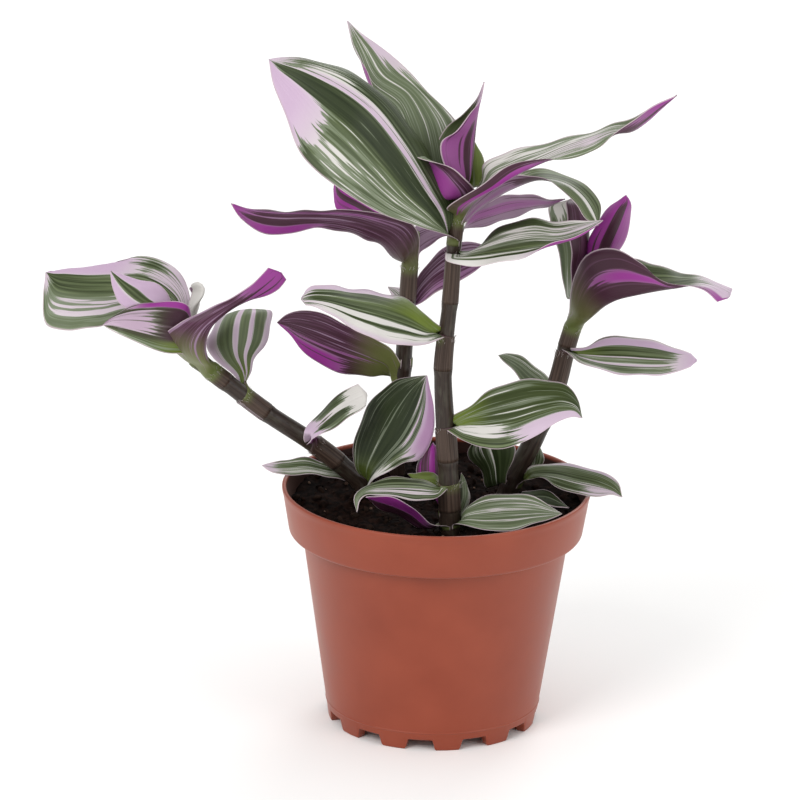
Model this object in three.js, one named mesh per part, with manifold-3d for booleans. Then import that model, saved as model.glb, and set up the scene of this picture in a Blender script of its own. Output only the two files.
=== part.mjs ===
// A potted tradescantia: four leafy stems in a terracotta-coloured nursery pot.
// Millimetres, +Z up. The shapes are made about the pot's own axis, with its feet at z = 0, and
// the whole plant is then moved sideways so that the middle of its footprint is the origin.

import * as THREE from 'three';
import { mergeVertices } from 'three/addons/utils/BufferGeometryUtils.js';
import Module from 'manifold-3d';

const wasm = await Module();
wasm.setup();

// ---------------------------------------------------------------- driving dimensions

// Pot: 12 cm across the rim.
const RIM_RADIUS = 60;
const POT_HEIGHT = 94.5;
const COLLAR_HEIGHT = 18.2;
const COLLAR_FOOT_RADIUS = 57;
const COLLAR_ROUNDING = 1.2;
const BODY_TOP_RADIUS = 52;
const BASE_RADIUS = 40.8;
const POT_WALL = 1.6;
const LIP_OVERHANG = 0.8;
const LIP_HEIGHT = 2.2;
const LIP_CHAMFER = 0.5;
const POT_SEGMENTS = 40;

// The pot stands on a ring of feet, with a raised floor and drain holes between them.
const FOOT_COUNT = 12;
const FOOT_HEIGHT = 4.4;
const FOOT_RING_WIDTH = 3.4;
const FOOT_TURN = 8.4; // degrees from the front to the middle of the nearest foot
const NOTCH_TOP_DEGREES = 13;
const NOTCH_BOTTOM_DEGREES = 17;
const FLOOR_UNDERSIDE = 5.2;
const DRAIN_HOLES = 6;
const DRAIN_RADIUS = 4;
const DRAIN_CIRCLE = 24;
const DRAIN_SIDES = 12;

// Soil: fills the pot to just under the rim, with clods standing up at the back left.
const SOIL_LEVEL = 84.5;
const SOIL_GAP = 0.3; // under the soil, between it and the pot
const SOIL_SIDE_GAP = 0.6; // round the soil
const SOIL_EDGE_GAP = 1.6; // round its top, where the lumps rise and fall
const SOIL_RINGS = 6;
const SOIL_SEGMENTS = 28;
const CLOD_HEIGHT = 4;
const CLOD_CENTRE = [-26, 36];
const CLOD_SPREAD = 13;
const LUMP_HEIGHT = 0.5;
const LUMP_LENGTHS = [3.1, 3.7]; // of the larger lumps in x and y, and below of the smaller ones
const SMALL_LUMP_LENGTHS = [1.9, 2.3];
const SMALL_LUMP_SHARE = 0.6;

// Stems and leaves.
const STEM_SIDES = 10;
const STEM_STEP = 7; // length of one straight piece of stem
const STEM_DEPTH = 24; // how far a stem runs down into the soil
const STEM_HOLE_GAP = 0.35;
const SHEATH_GAP = 0.5; // between a stem and the leaf base round it
const LEAF_THICKNESS = 0.65;
const LEAF_OPENING = 5; // length over which the tube round the stem opens into the blade
const OPENING_STEP = 3.5; // between the rows where the base opens
const LEAF_WAIST = 0.5; // narrowest part of a blade, above the sheath, against its full width
const BELLY = 0.42; // where a blade is widest, as a part of its length
const TIGHTEST_CUP = 4; // smallest radius across a blade
const TIP_WIDTH = 0.9;
const COLUMNS = 6;
const NARROW_COLUMNS = 4; // on a blade narrower than NARROW_WIDTH
const NARROW_WIDTH = 16.5;
const BLADE_ROWS = 7;
const SHEATH_STEP = 8; // longest straight piece of a sheath
const LEAN = 25; // degrees between the stem and the blade as it leaves the sheath
const ROUTE_SAMPLES = 60; // places at which a midrib is measured
const CURVE_DIVISIONS = 400; // for measuring lengths along stems and midribs

const COLORS = {
  pot: '#9c4b38',
  soil: '#1a0f0d',
  stem: '#4a3b34',
  leaf: '#5f7350',
};
const ROUGHNESS = { pot: 0.45, soil: 0.95, stem: 0.5, leaf: 0.45 };

// Points on each stem's axis, from the soil up, and its radius at the foot and at the top.
const STEMS = {
  left: {
    radius: [3.7, 3.0],
    axis: [[-24, 13, 78], [-28, 12, 89], [-38, 10, 99.5], [-48.5, 8, 108.5], [-66, 4, 121.5],
      [-81, 0, 134.5], [-92, -2, 144], [-98.5, -3, 151], [-101.5, -3, 155]],
  },
  middle: {
    radius: [3.7, 2.9],
    axis: [[-16, 30, 78], [-16, 30, 92], [-15.5, 28, 112], [-14, 26, 130.5], [-12.5, 24, 154],
      [-11.5, 22, 171], [-11, 21, 184], [-11, 20, 193]],
  },
  front: {
    radius: [4.0, 2.5],
    axis: [[5.5, -24, 78], [5.3, -24, 88], [4.3, -24, 112], [3, -23, 129], [1.7, -22, 148.5],
      [2.4, -21, 162.5], [3.6, -20, 175], [5, -18, 201], [6.3, -17, 213], [7.3, -16, 222]],
  },
  right: {
    radius: [4.0, 3.0],
    axis: [[26, 14, 78], [28, 14, 87.5], [31.5, 14, 96.5], [37.5, 14, 109], [46.5, 15, 131.5],
      [50, 16, 146.5], [53, 17, 159.5], [55, 18, 169.5], [56, 18, 176]],
  },
};

// Each leaf grows from a node of its stem. node is the height of that node, sheath the length of
// the tube round the stem above it, clasp how many degrees round the stem the base reaches, and
// side the way it leaves the stem. path is the midrib beyond the sheath, out to the tip. face and
// tipFace are the ways the upper side looks at half length and at the tip. width is the blade's
// full width, and cup how many degrees it curves across. Some leaves have their own waist, belly
// or opening in place of LEAF_WAIST, BELLY and LEAF_OPENING.
const LEAVES = [
  { name: 'leaf_left_1', stem: 'left', node: 90.5, sheath: 2, clasp: 110, side: [-0.3, 1, 0.2],
    path: [[-42, 16, 93], [-54, 12, 97], [-67, 8, 98]],
    face: [0, -0.3, 1], tipFace: [0, -0.4, 1], width: 18, cup: 50 },
  { name: 'leaf_left_2', stem: 'left', node: 100, sheath: 12, clasp: 350, side: [0.4, -0.5, 0.8],
    path: [[-41, -3, 124], [-34, -8, 132], [-26, -9, 136]],
    face: [-0.4, -0.6, 0.7], tipFace: [-0.3, -0.7, 0.6], width: 15, cup: 60 },
  { name: 'leaf_left_3', stem: 'left', node: 122, sheath: 12, clasp: 350, side: [0.5, 0.8, 0.6],
    path: [[-75, 9, 141], [-77, 8, 151], [-72, 12, 158], [-69, 22, 156]],
    face: [0, -1, 0.1], tipFace: [0.2, -0.5, 0.8], width: 22, cup: 50 },
  { name: 'leaf_left_4', stem: 'left', node: 135.5, sheath: 7, clasp: 350, side: [0.6, -0.7, 0.3],
    path: [[-87, -16, 164], [-75, -16, 174], [-59, -13, 184]],
    face: [-0.5, 0.6, 0.6], tipFace: [-0.4, 0.7, 0.6], width: 20, cup: 100, waist: 1.1, opening: 10 },
  { name: 'leaf_left_5', stem: 'left', node: 144.5, sheath: 1.5, clasp: 170, side: [-0.6, -0.5, -0.5],
    path: [[-107, -14, 159], [-117, -18, 163], [-128, -20, 165]],
    face: [0.1, 0.7, 0.7], tipFace: [0, 0.7, 0.7], width: 21, cup: 60 },
  { name: 'leaf_left_6', stem: 'left', node: 148, sheath: 1, clasp: 90, side: [0.7, -0.5, 0.5],
    path: [[-106, -5, 166], [-114, -8, 172], [-125, -8, 180]],
    face: [-0.1, -0.8, 0.6], tipFace: [-0.2, -0.8, 0.5], width: 16, cup: 60 },
  { name: 'leaf_left_7', stem: 'left', node: 153.3, sheath: 1, clasp: 90, side: [-0.4, 1, 0],
    path: [[-108, 14, 164], [-127, 17, 166], [-144, 11, 164], [-153, 18, 155]],
    face: [-0.1, -0.6, 0.8], tipFace: [-0.7, -0.5, 0.3], width: 28, cup: 30 },
  { name: 'leaf_left_8', stem: 'left', node: 145.5, sheath: 1.5, clasp: 80, side: [0.9, 0.3, 0.3],
    path: [[-93, 2, 162], [-91, -1, 174]],
    face: [-0.6, -0.5, 0.4], tipFace: [-0.6, -0.6, 0.3], width: 9, cup: 60 },
  { name: 'leaf_foot_left', stem: 'left', node: 87, sheath: 1.5, clasp: 130, side: [0.6, -0.9, 0.2],
    path: [[-20, -2, 113], [-13, -4, 128], [-4, -8, 141]],
    face: [-0.3, -1, 0.3], tipFace: [-0.3, -0.9, 0.4], width: 27, cup: 50 },
  { name: 'leaf_middle_1', stem: 'middle', node: 124, sheath: 3, clasp: 300, side: [-0.9, -0.3, 0],
    path: [[-22, 20, 138], [-36, 14, 146], [-50, 12, 152], [-62, 12, 156]],
    face: [0.2, 0.9, 0.4], tipFace: [0.1, 0.8, 0.5], width: 26, cup: 60, waist: 0.8 },
  { name: 'leaf_middle_2', stem: 'middle', node: 146, sheath: 11, clasp: 350, side: [0.9, 0.3, 0.3],
    path: [[-3, 28, 171], [6, 32, 176], [17, 36, 179]],
    face: [-0.2, 0.7, 0.7], tipFace: [-0.2, 0.7, 0.7], width: 16, cup: 90 },
  { name: 'leaf_middle_3', stem: 'middle', node: 135, sheath: 3, clasp: 300, side: [-0.3, 1, 0.4],
    path: [[-16, 38, 158], [-20, 46, 162]],
    face: [0.3, -0.9, 0.5], tipFace: [0.2, -0.8, 0.6], width: 14, cup: 60 },
  { name: 'leaf_middle_4', stem: 'middle', node: 163, sheath: 14, clasp: 350, side: [-0.9, -0.3, 0.2],
    path: [[-15, 16, 192], [-27, 12, 196], [-47, 8, 200], [-66, 6, 198], [-80, 4, 205]],
    face: [0.1, 0.5, 0.8], tipFace: [0.3, 0.6, 0.7], width: 22, cup: 70 },
  { name: 'leaf_middle_5', stem: 'middle', node: 183, sheath: 2, clasp: 170, side: [0.9, 0.2, 0],
    path: [[-1, 26, 187], [7, 31, 190]],
    face: [-0.3, 0.7, 0.7], tipFace: [-0.3, 0.7, 0.7], width: 16, cup: 80 },
  { name: 'leaf_middle_6', stem: 'middle', node: 188.5, sheath: 2, clasp: 150, side: [-0.2, 1, 0],
    path: [[-17, 34, 197], [-31, 40, 200], [-43, 43, 204]],
    face: [0.4, 0.6, 0.7], tipFace: [0.3, 0.6, 0.7], width: 20, cup: 90 },
  { name: 'leaf_front_1', stem: 'front', node: 93, sheath: 11, clasp: 350, side: [-0.9, -0.6, 0],
    path: [[-7, -33, 108], [-20, -37, 106], [-29, -38, 100]],
    face: [0, -0.5, 0.9], tipFace: [-0.5, -0.7, 0.4], width: 17, cup: 40 },
  { name: 'leaf_front_2', stem: 'front', node: 113, sheath: 13, clasp: 350, side: [0.9, -0.5, 0],
    path: [[18, -31, 131], [31, -35, 137], [44, -38, 142], [54, -40, 138]],
    face: [-0.1, -0.8, 0.7], tipFace: [0.3, -0.8, 0.5], width: 26, cup: 40 },
  { name: 'leaf_front_3', stem: 'front', node: 149, sheath: 13, clasp: 350, side: [-0.9, -0.5, 0],
    path: [[-11, -28, 169], [-27, -33, 174], [-40, -36, 179], [-52, -36, 181]],
    face: [0.1, -0.7, 0.8], tipFace: [-0.1, -0.7, 0.7], width: 22, cup: 40 },
  { name: 'leaf_front_4', stem: 'front', node: 175, sheath: 19, clasp: 350, side: [0.9, -0.5, 0],
    path: [[18, -26, 198], [33, -31, 205], [46, -34, 208], [61, -34, 213]],
    face: [-0.1, -0.5, 0.8], tipFace: [0, -0.5, 0.8], width: 20, cup: 40, waist: 0.8, belly: 0.35 },
  { name: 'leaf_front_5', stem: 'front', node: 197.5, sheath: 2, clasp: 180, side: [-0.8, -0.7, 0],
    path: [[-15, -30, 227], [-37, -37, 248], [-54, -33, 264], [-66, -27, 271]],
    face: [0.3, -1, 0.3], tipFace: [0.2, -1, 0.3], width: 38, cup: 36 },
  { name: 'leaf_front_6', stem: 'front', node: 200.5, sheath: 1.5, clasp: 120, side: [0.6, 0.8, 0],
    path: [[22, -4, 208], [34, 4, 207], [47, 10, 209]],
    face: [-0.2, 0.7, 0.7], tipFace: [0, 0.7, 0.7], width: 20, cup: 70, waist: 0.8 },
  { name: 'leaf_front_7', stem: 'front', node: 204.5, sheath: 1.5, clasp: 110, side: [1, 0, 0],
    path: [[24, -16, 220], [39, -8, 224], [52, -2, 215], [60, 0, 204]],
    face: [-0.2, 0.6, 0.8], tipFace: [0.6, -0.6, 0.4], width: 22, cup: 60 },
  { name: 'leaf_front_8', stem: 'front', node: 208, sheath: 1.5, clasp: 120, side: [0.5, -0.9, 0],
    path: [[21, -22, 228], [40, -26, 237], [62, -26, 244], [87, -22, 259]],
    face: [-0.2, -0.2, 1], tipFace: [0.1, -0.3, 0.9], width: 19, cup: 90, waist: 0.9, belly: 0.3 },
  { name: 'leaf_front_9', stem: 'front', node: 213, sheath: 1.5, clasp: 160, side: [-0.9, 0.5, 0],
    path: [[-1, -5, 227], [-16, 6, 249], [-37, 12, 277]],
    face: [0.3, -1, 0.3], tipFace: [0.3, -0.9, 0.3], width: 24, cup: 50, waist: 0.8, opening: 8 },
  { name: 'leaf_front_10', stem: 'front', node: 218, sheath: 1, clasp: 120, side: [0.2, -1, 0],
    path: [[8, -18, 230], [8, -19, 245], [15, -14, 260]],
    face: [-0.2, 0.9, 0.2], tipFace: [-0.4, 0.8, 0.3], width: 17, cup: 130, belly: 0.38, waist: 0.42 },
  { name: 'leaf_foot_front_1', stem: 'front', node: 86.5, sheath: 1.5, clasp: 100, side: [0.9, -0.5, 0],
    path: [[20, -34, 98], [34, -36, 99], [48, -34, 95]],
    face: [0, -0.6, 0.8], tipFace: [0.1, -0.7, 0.7], width: 20, cup: 40 },
  { name: 'leaf_foot_front_2', stem: 'front', node: 86, sheath: 1.5, clasp: 100, side: [-0.8, -0.7, 0],
    path: [[-6, -34, 93], [-17, -37, 97], [-27, -38, 99]],
    face: [0.1, 0.8, 0.6], tipFace: [0, 0.7, 0.7], width: 15, cup: 60 },
  { name: 'leaf_foot_front_3', stem: 'front', node: 87, sheath: 1, clasp: 80, side: [0.3, 0.9, 0],
    path: [[12, -14, 97], [11, -10, 104]],
    face: [-0.3, -0.8, 0.4], tipFace: [-0.3, -0.8, 0.4], width: 11, cup: 60 },
  { name: 'leaf_right_0', stem: 'right', node: 86, sheath: 1, clasp: 80, side: [0.6, -0.8, 0],
    path: [[36, -4, 91], [44, -8, 93], [52, -12, 94]],
    face: [0, -0.5, 0.8], tipFace: [0, -0.5, 0.8], width: 13, cup: 50 },
  { name: 'leaf_right_1', stem: 'right', node: 91, sheath: 1.5, clasp: 100, side: [1, -0.2, 0],
    path: [[42, 2, 101], [55, -6, 101], [72, -12, 96]],
    face: [-0.1, -0.4, 0.9], tipFace: [0.2, -0.5, 0.8], width: 20, cup: 50 },
  { name: 'leaf_right_2', stem: 'right', node: 91, sheath: 1.5, clasp: 100, side: [-1, -0.1, 0],
    path: [[21, -2, 103], [16, -6, 115]],
    face: [0.3, -0.9, 0.4], tipFace: [0.3, -0.8, 0.5], width: 20, cup: 50 },
  { name: 'leaf_right_3', stem: 'right', node: 94, sheath: 1.5, clasp: 90, side: [0.2, 1, 0],
    path: [[38, 32, 94], [41, 38, 99]],
    face: [-0.2, -0.8, 0.5], tipFace: [-0.2, -0.8, 0.5], width: 13, cup: 50 },
  { name: 'leaf_right_4', stem: 'right', node: 116.5, sheath: 9, clasp: 350, side: [-0.6, 0.8, 0.2],
    path: [[36, 28, 132], [24, 32, 137]],
    face: [0.2, -0.6, 0.8], tipFace: [0.1, -0.6, 0.8], width: 16, cup: 50 },
  { name: 'leaf_right_5', stem: 'right', node: 132, sheath: 13, clasp: 350, side: [0.9, -0.4, 0],
    path: [[65, 8, 146], [81, 4, 147], [100, 2, 147]],
    face: [-0.1, -0.5, 0.8], tipFace: [0, -0.5, 0.8], width: 18, cup: 40 },
  { name: 'leaf_right_6', stem: 'right', node: 147, sheath: 8, clasp: 350, side: [0.6, -0.8, 0],
    path: [[58, 6, 172], [69, 2, 180], [86, 0, 180], [113, -2, 176]],
    face: [-0.1, 0.4, 0.9], tipFace: [0, -0.4, 0.9], width: 27, cup: 60, waist: 1.1, belly: 0.3, opening: 9 },
  { name: 'leaf_right_7', stem: 'right', node: 165, sheath: 2, clasp: 200, side: [-0.7, 0.6, 0],
    path: [[50, 25, 176], [47, 30, 188], [44, 33, 201]],
    face: [0.5, -0.6, 0.4], tipFace: [0.5, -0.5, 0.4], width: 20, cup: 120 },
  { name: 'leaf_right_8', stem: 'right', node: 170.5, sheath: 2, clasp: 180, side: [0.7, 0.3, 0.4],
    path: [[60, 16, 184], [66, 14, 197], [72, 12, 209]],
    face: [-0.5, 0.7, 0.3], tipFace: [-0.5, 0.7, 0.3], width: 21, cup: 100, waist: 0.8 },
];

// ---------------------------------------------------------------- small helpers

const radians = THREE.MathUtils.degToRad;
const mix = THREE.MathUtils.lerp;
const smooth = (x) => THREE.MathUtils.smoothstep(x, 0, 1);
const vector = (p) => new THREE.Vector3(...p);

function square(v, axis) {
  // The part of v at right angles to the axis, at unit length.
  return v.clone().addScaledVector(axis, -v.dot(axis)).normalize();
}

function geometryOf(points, triangles) {
  const geometry = new THREE.BufferGeometry();
  geometry.setAttribute('position', new THREE.Float32BufferAttribute(points, 3));
  geometry.setIndex(triangles);
  return geometry;
}

function closed(geometry) {
  // One skin of shared corners, without the triangles that have shrunk to a line.
  geometry.deleteAttribute('normal');
  geometry.deleteAttribute('uv');
  const merged = mergeVertices(geometry, 1e-3);
  const index = merged.index.array;
  const kept = [];
  for (let i = 0; i < index.length; i += 3) {
    const [a, b, c] = index.slice(i, i + 3);
    if (a !== b && b !== c && c !== a) kept.push(a, b, c);
  }
  merged.setIndex(kept);
  return merged;
}

function turnedOut(geometry) {
  // Turns every triangle over if the skin faces inwards.
  const position = geometry.attributes.position;
  const index = Array.from(geometry.index.array);
  const corner = (i) => new THREE.Vector3().fromBufferAttribute(position, index[i]);
  let volume = 0;
  for (let i = 0; i < index.length; i += 3) {
    volume += corner(i).dot(corner(i + 1).cross(corner(i + 2)));
  }
  if (volume < 0) index.reverse();
  geometry.setIndex(index);
  return geometry;
}

function toSolid(geometry) {
  const skin = turnedOut(closed(geometry));
  return new wasm.Manifold(new wasm.Mesh({
    numProp: 3,
    vertProperties: new Float32Array(skin.attributes.position.array),
    triVerts: new Uint32Array(skin.index.array),
  }));
}

function fromSolid(solid) {
  const mesh = solid.getMesh();
  return geometryOf(Array.from(mesh.vertProperties), Array.from(mesh.triVerts));
}

const plant = new THREE.Group();

function add(name, geometry, color, roughness) {
  const material = new THREE.MeshStandardMaterial({ color, roughness, metalness: 0 });
  const mesh = new THREE.Mesh(geometry, material);
  mesh.name = name;
  plant.add(mesh);
}

// ---------------------------------------------------------------- stems

function stemRoute(stem) {
  const foot = vector(stem.axis[0]);
  const buried = foot.clone();
  buried.z = SOIL_LEVEL - STEM_DEPTH;
  const curve = new THREE.CatmullRomCurve3([buried, ...stem.axis.map(vector)]);
  curve.arcLengthDivisions = CURVE_DIVISIONS;
  return curve;
}

function stemRadius(stem, z) {
  const [foot, top] = stem.radius;
  const topZ = stem.axis.at(-1)[2];
  return mix(foot, top, smooth((z - SOIL_LEVEL) / (topZ - SOIL_LEVEL)));
}

function heightAlong(curve, z) {
  // The place along a rising curve, from 0 to 1, where it reaches the height z.
  let low = 0;
  let high = 1;
  for (let step = 0; step < 30; step += 1) {
    const middle = (low + high) / 2;
    if (curve.getPointAt(middle).z < z) low = middle;
    else high = middle;
  }
  return low;
}

function stemTube(stem, swell) {
  const curve = stemRoute(stem);
  const steps = Math.round(curve.getLength() / STEM_STEP);
  const points = [];
  const triangles = [];
  for (let i = 0; i <= steps; i += 1) {
    const centre = curve.getPointAt(i / steps);
    const along = curve.getTangentAt(i / steps);
    const across = square(new THREE.Vector3(0, -1, 0), along);
    const other = along.clone().cross(across);
    const radius = stemRadius(stem, centre.z) + swell;
    for (let j = 0; j < STEM_SIDES; j += 1) {
      const turn = 2 * Math.PI * j / STEM_SIDES;
      const corner = centre.clone()
        .addScaledVector(across, radius * Math.cos(turn))
        .addScaledVector(other, radius * Math.sin(turn));
      points.push(...corner);
    }
  }
  const ring = (i, j) => i * STEM_SIDES + j % STEM_SIDES;
  for (let i = 0; i < steps; i += 1) {
    for (let j = 0; j < STEM_SIDES; j += 1) {
      triangles.push(ring(i, j), ring(i, j + 1), ring(i + 1, j));
      triangles.push(ring(i, j + 1), ring(i + 1, j + 1), ring(i + 1, j));
    }
  }
  for (let j = 1; j < STEM_SIDES - 1; j += 1) {
    triangles.push(ring(0, 0), ring(0, j + 1), ring(0, j));
    triangles.push(ring(steps, 0), ring(steps, j), ring(steps, j + 1));
  }
  return turnedOut(geometryOf(points, triangles));
}

// ---------------------------------------------------------------- leaves

function bladeProfile(u, waist, belly) {
  // Width along the blade, from 0 at the sheath to 1 at the tip, against its widest.
  if (u < belly) return 1 - (1 - waist) * ((belly - u) / belly) ** 2;
  return 1 - ((u - belly) / (1 - belly)) ** 2;
}

function rollBetween(from, to, axis) {
  // The signed turn about the axis that brings one direction round to another.
  const aim = square(to, axis);
  return Math.atan2(from.clone().cross(aim).dot(axis), from.dot(aim));
}

function columnsOf(leaf) {
  return leaf.width < NARROW_WIDTH && leaf.clasp < 180 ? NARROW_COLUMNS : COLUMNS;
}

function leafRows({ waist = LEAF_WAIST, belly = BELLY, opening = LEAF_OPENING, ...leaf }) {
  // The rows of the leaf from the node to the tip. Each has its midrib point, the way its upper
  // side looks, the way across, its half width and how tightly it curves.
  const stem = STEMS[leaf.stem];
  const axis = stemRoute(stem);
  const nodeAt = heightAlong(axis, leaf.node);
  const mouthAt = nodeAt + leaf.sheath / axis.getLength();
  const baseTurn = radians(leaf.clasp);
  const facet = baseTurn / columnsOf(leaf) / 2;
  const rows = [];

  const sheathRow = (at) => {
    const centre = axis.getPointAt(at);
    const along = axis.getTangentAt(at);
    const inward = square(vector(leaf.side), along).negate();
    const inner = (stemRadius(stem, centre.z) + SHEATH_GAP) / Math.cos(facet);
    const radius = inner + LEAF_THICKNESS / 2;
    return {
      middle: centre.addScaledVector(inward, -radius),
      along,
      upper: inward,
      half: radius * baseTurn / 2,
      curve: 1 / radius,
    };
  };
  const sheathRows = Math.ceil(leaf.sheath / SHEATH_STEP);
  for (let i = 0; i <= sheathRows; i += 1) {
    rows.push(sheathRow(mix(nodeAt, mouthAt, i / sheathRows)));
  }
  const [foot, mouth] = rows.slice(-2);

  const lean = radians(LEAN);
  const leaving = mouth.middle.clone()
    .addScaledVector(mouth.along, LEAF_OPENING * Math.cos(lean))
    .addScaledVector(mouth.upper, -LEAF_OPENING * Math.sin(lean));
  const midrib = [foot.middle, mouth.middle, leaving, ...leaf.path.map(vector)];
  const route = new THREE.CatmullRomCurve3(midrib);
  route.arcLengthDivisions = CURVE_DIVISIONS;
  const start = foot.middle.distanceTo(mouth.middle) / route.getLength();
  const length = route.getLength() * (1 - start);
  const frames = [];
  let upper = mouth.upper;
  for (let i = 0; i <= ROUTE_SAMPLES; i += 1) {
    const at = mix(start, 1, i / ROUTE_SAMPLES);
    const along = route.getTangentAt(at);
    upper = square(upper, along);
    frames.push({ middle: route.getPointAt(at), along, upper });
  }
  const half = frames[ROUTE_SAMPLES / 2];
  const tip = frames[ROUTE_SAMPLES];
  const halfRoll = rollBetween(half.upper, vector(leaf.face), half.along);
  const carried = tip.upper.clone().applyAxisAngle(tip.along, halfRoll);
  const tipRoll = halfRoll + rollBetween(carried, vector(leaf.tipFace), tip.along);

  const bladeRow = (distance) => {
    const u = Math.min(distance / length, 1);
    const frame = frames[Math.round(u * ROUTE_SAMPLES)];
    const turned = smooth((distance - opening) / (length / 2 - opening));
    const roll = u < 0.5 ? halfRoll * turned : mix(halfRoll, tipRoll, smooth(u * 2 - 1));
    const opened = smooth(distance / opening);
    const wide = Math.max(leaf.width * bladeProfile(u, waist, belly), TIP_WIDTH) / 2;
    const cupped = Math.min(radians(leaf.cup) / (2 * wide), 1 / TIGHTEST_CUP);
    return {
      middle: frame.middle,
      along: frame.along,
      upper: frame.upper.clone().applyAxisAngle(frame.along, roll),
      half: mix(mouth.half, wide, opened),
      curve: mix(mouth.curve, cupped, opened),
    };
  };
  const openingRows = Math.ceil(opening / OPENING_STEP);
  for (let i = 1; i < openingRows; i += 1) {
    rows.push(bladeRow(opening * i / openingRows));
  }
  for (let i = 0; i <= BLADE_ROWS; i += 1) {
    rows.push(bladeRow(mix(opening, length, i / BLADE_ROWS)));
  }
  return rows;
}

function leafBlade(leaf) {
  // A thin curved sheet of even thickness. Both faces are split into triangles alike.
  const rows = leafRows(leaf);
  const columns = columnsOf(leaf);
  const sheet = rows.map((row) => {
    const across = row.along.clone().cross(row.upper);
    const line = [];
    for (let j = 0; j <= columns; j += 1) {
      const bend = row.half * (2 * j / columns - 1) * row.curve;
      const point = row.middle.clone()
        .addScaledVector(across, Math.sin(bend) / row.curve)
        .addScaledVector(row.upper, (1 - Math.cos(bend)) / row.curve);
      const slope = across.clone().multiplyScalar(Math.cos(bend))
        .addScaledVector(row.upper, Math.sin(bend));
      line.push({ point, slope });
    }
    return line;
  });
  const points = [];
  sheet.forEach((line, i) => line.forEach(({ point, slope }, j) => {
    const before = sheet[Math.max(i - 1, 0)][j].point;
    const after = sheet[Math.min(i + 1, sheet.length - 1)][j].point;
    const normal = after.clone().sub(before).cross(slope).normalize();
    points.push(...point.clone().addScaledVector(normal, -LEAF_THICKNESS / 2));
    points.push(...point.clone().addScaledVector(normal, LEAF_THICKNESS / 2));
  }));

  const last = rows.length - 1;
  const at = (i, j, side) => (i * (columns + 1) + j) * 2 + side;
  const triangles = [];
  for (let i = 0; i < last; i += 1) {
    for (let j = 0; j < columns; j += 1) {
      // The split of each four-sided piece slopes out from the midrib, on both halves.
      const corners = [[i, j], [i, j + 1], [i + 1, j + 1], [i + 1, j]];
      const turn = j < columns / 2 ? 1 : 0;
      const [a, b, c, d] = corners.map((_, k) => corners[(k + turn) % 4]);
      triangles.push(at(...a, 0), at(...b, 0), at(...c, 0), at(...a, 0), at(...c, 0), at(...d, 0));
      triangles.push(at(...a, 1), at(...c, 1), at(...b, 1), at(...a, 1), at(...d, 1), at(...c, 1));
    }
  }
  const strip = (a, b, c, d) => triangles.push(a, b, c, b, d, c);
  for (let i = 0; i < last; i += 1) {
    strip(at(i, 0, 0), at(i + 1, 0, 0), at(i, 0, 1), at(i + 1, 0, 1));
    strip(at(i + 1, columns, 0), at(i, columns, 0), at(i + 1, columns, 1), at(i, columns, 1));
  }
  for (let j = 0; j < columns; j += 1) {
    strip(at(0, j + 1, 0), at(0, j, 0), at(0, j + 1, 1), at(0, j, 1));
    strip(at(last, j, 0), at(last, j + 1, 0), at(last, j, 1), at(last, j + 1, 1));
  }
  return turnedOut(geometryOf(points, triangles));
}

// ---------------------------------------------------------------- pot

function potBody() {
  const collarFoot = POT_HEIGHT - COLLAR_HEIGHT;
  const lipInside = RIM_RADIUS - LIP_OVERHANG;
  const floorTop = FLOOR_UNDERSIDE + POT_WALL;
  const slope = (BODY_TOP_RADIUS - BASE_RADIUS) / collarFoot;
  const ringInside = BASE_RADIUS - FOOT_RING_WIDTH;
  const profile = [
    [0, FLOOR_UNDERSIDE],
    [ringInside, FLOOR_UNDERSIDE],
    [ringInside, 0],
    [BASE_RADIUS, 0],
    [BODY_TOP_RADIUS, collarFoot],
    [COLLAR_FOOT_RADIUS - COLLAR_ROUNDING, collarFoot],
    [COLLAR_FOOT_RADIUS, collarFoot + COLLAR_ROUNDING],
    [lipInside, POT_HEIGHT - LIP_HEIGHT],
    [RIM_RADIUS, POT_HEIGHT - LIP_HEIGHT + LIP_CHAMFER],
    [RIM_RADIUS, POT_HEIGHT - LIP_CHAMFER],
    [RIM_RADIUS - LIP_CHAMFER, POT_HEIGHT],
    [lipInside - POT_WALL, POT_HEIGHT],
    [COLLAR_FOOT_RADIUS - POT_WALL, collarFoot + POT_WALL],
    [BODY_TOP_RADIUS - POT_WALL, collarFoot + POT_WALL],
    [BASE_RADIUS + slope * floorTop - POT_WALL, floorTop],
    [0, floorTop],
  ];
  return new THREE.LatheGeometry(profile.map(([r, z]) => new THREE.Vector2(r, z)), POT_SEGMENTS)
    .rotateX(Math.PI / 2);
}

function notch() {
  // The gap between two feet: a wedge that is wider at the ground, cut through the foot ring.
  const halfTop = BASE_RADIUS * radians(NOTCH_TOP_DEGREES) / 2;
  const halfBottom = BASE_RADIUS * radians(NOTCH_BOTTOM_DEGREES) / 2;
  const outline = new THREE.Shape([
    new THREE.Vector2(halfTop - 2 * halfBottom, -FOOT_HEIGHT),
    new THREE.Vector2(2 * halfBottom - halfTop, -FOOT_HEIGHT),
    new THREE.Vector2(halfTop, FOOT_HEIGHT),
    new THREE.Vector2(-halfTop, FOOT_HEIGHT),
  ]);
  return new THREE.ExtrudeGeometry(outline, { depth: 3 * FOOT_RING_WIDTH, bevelEnabled: false })
    .rotateX(Math.PI / 2)
    .translate(0, 2 * FOOT_RING_WIDTH - BASE_RADIUS, 0);
}

function drain() {
  const depth = 3 * POT_WALL;
  return new THREE.CylinderGeometry(DRAIN_RADIUS, DRAIN_RADIUS, depth, DRAIN_SIDES)
    .rotateX(Math.PI / 2)
    .translate(0, -DRAIN_CIRCLE, FLOOR_UNDERSIDE + POT_WALL / 2);
}

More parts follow.
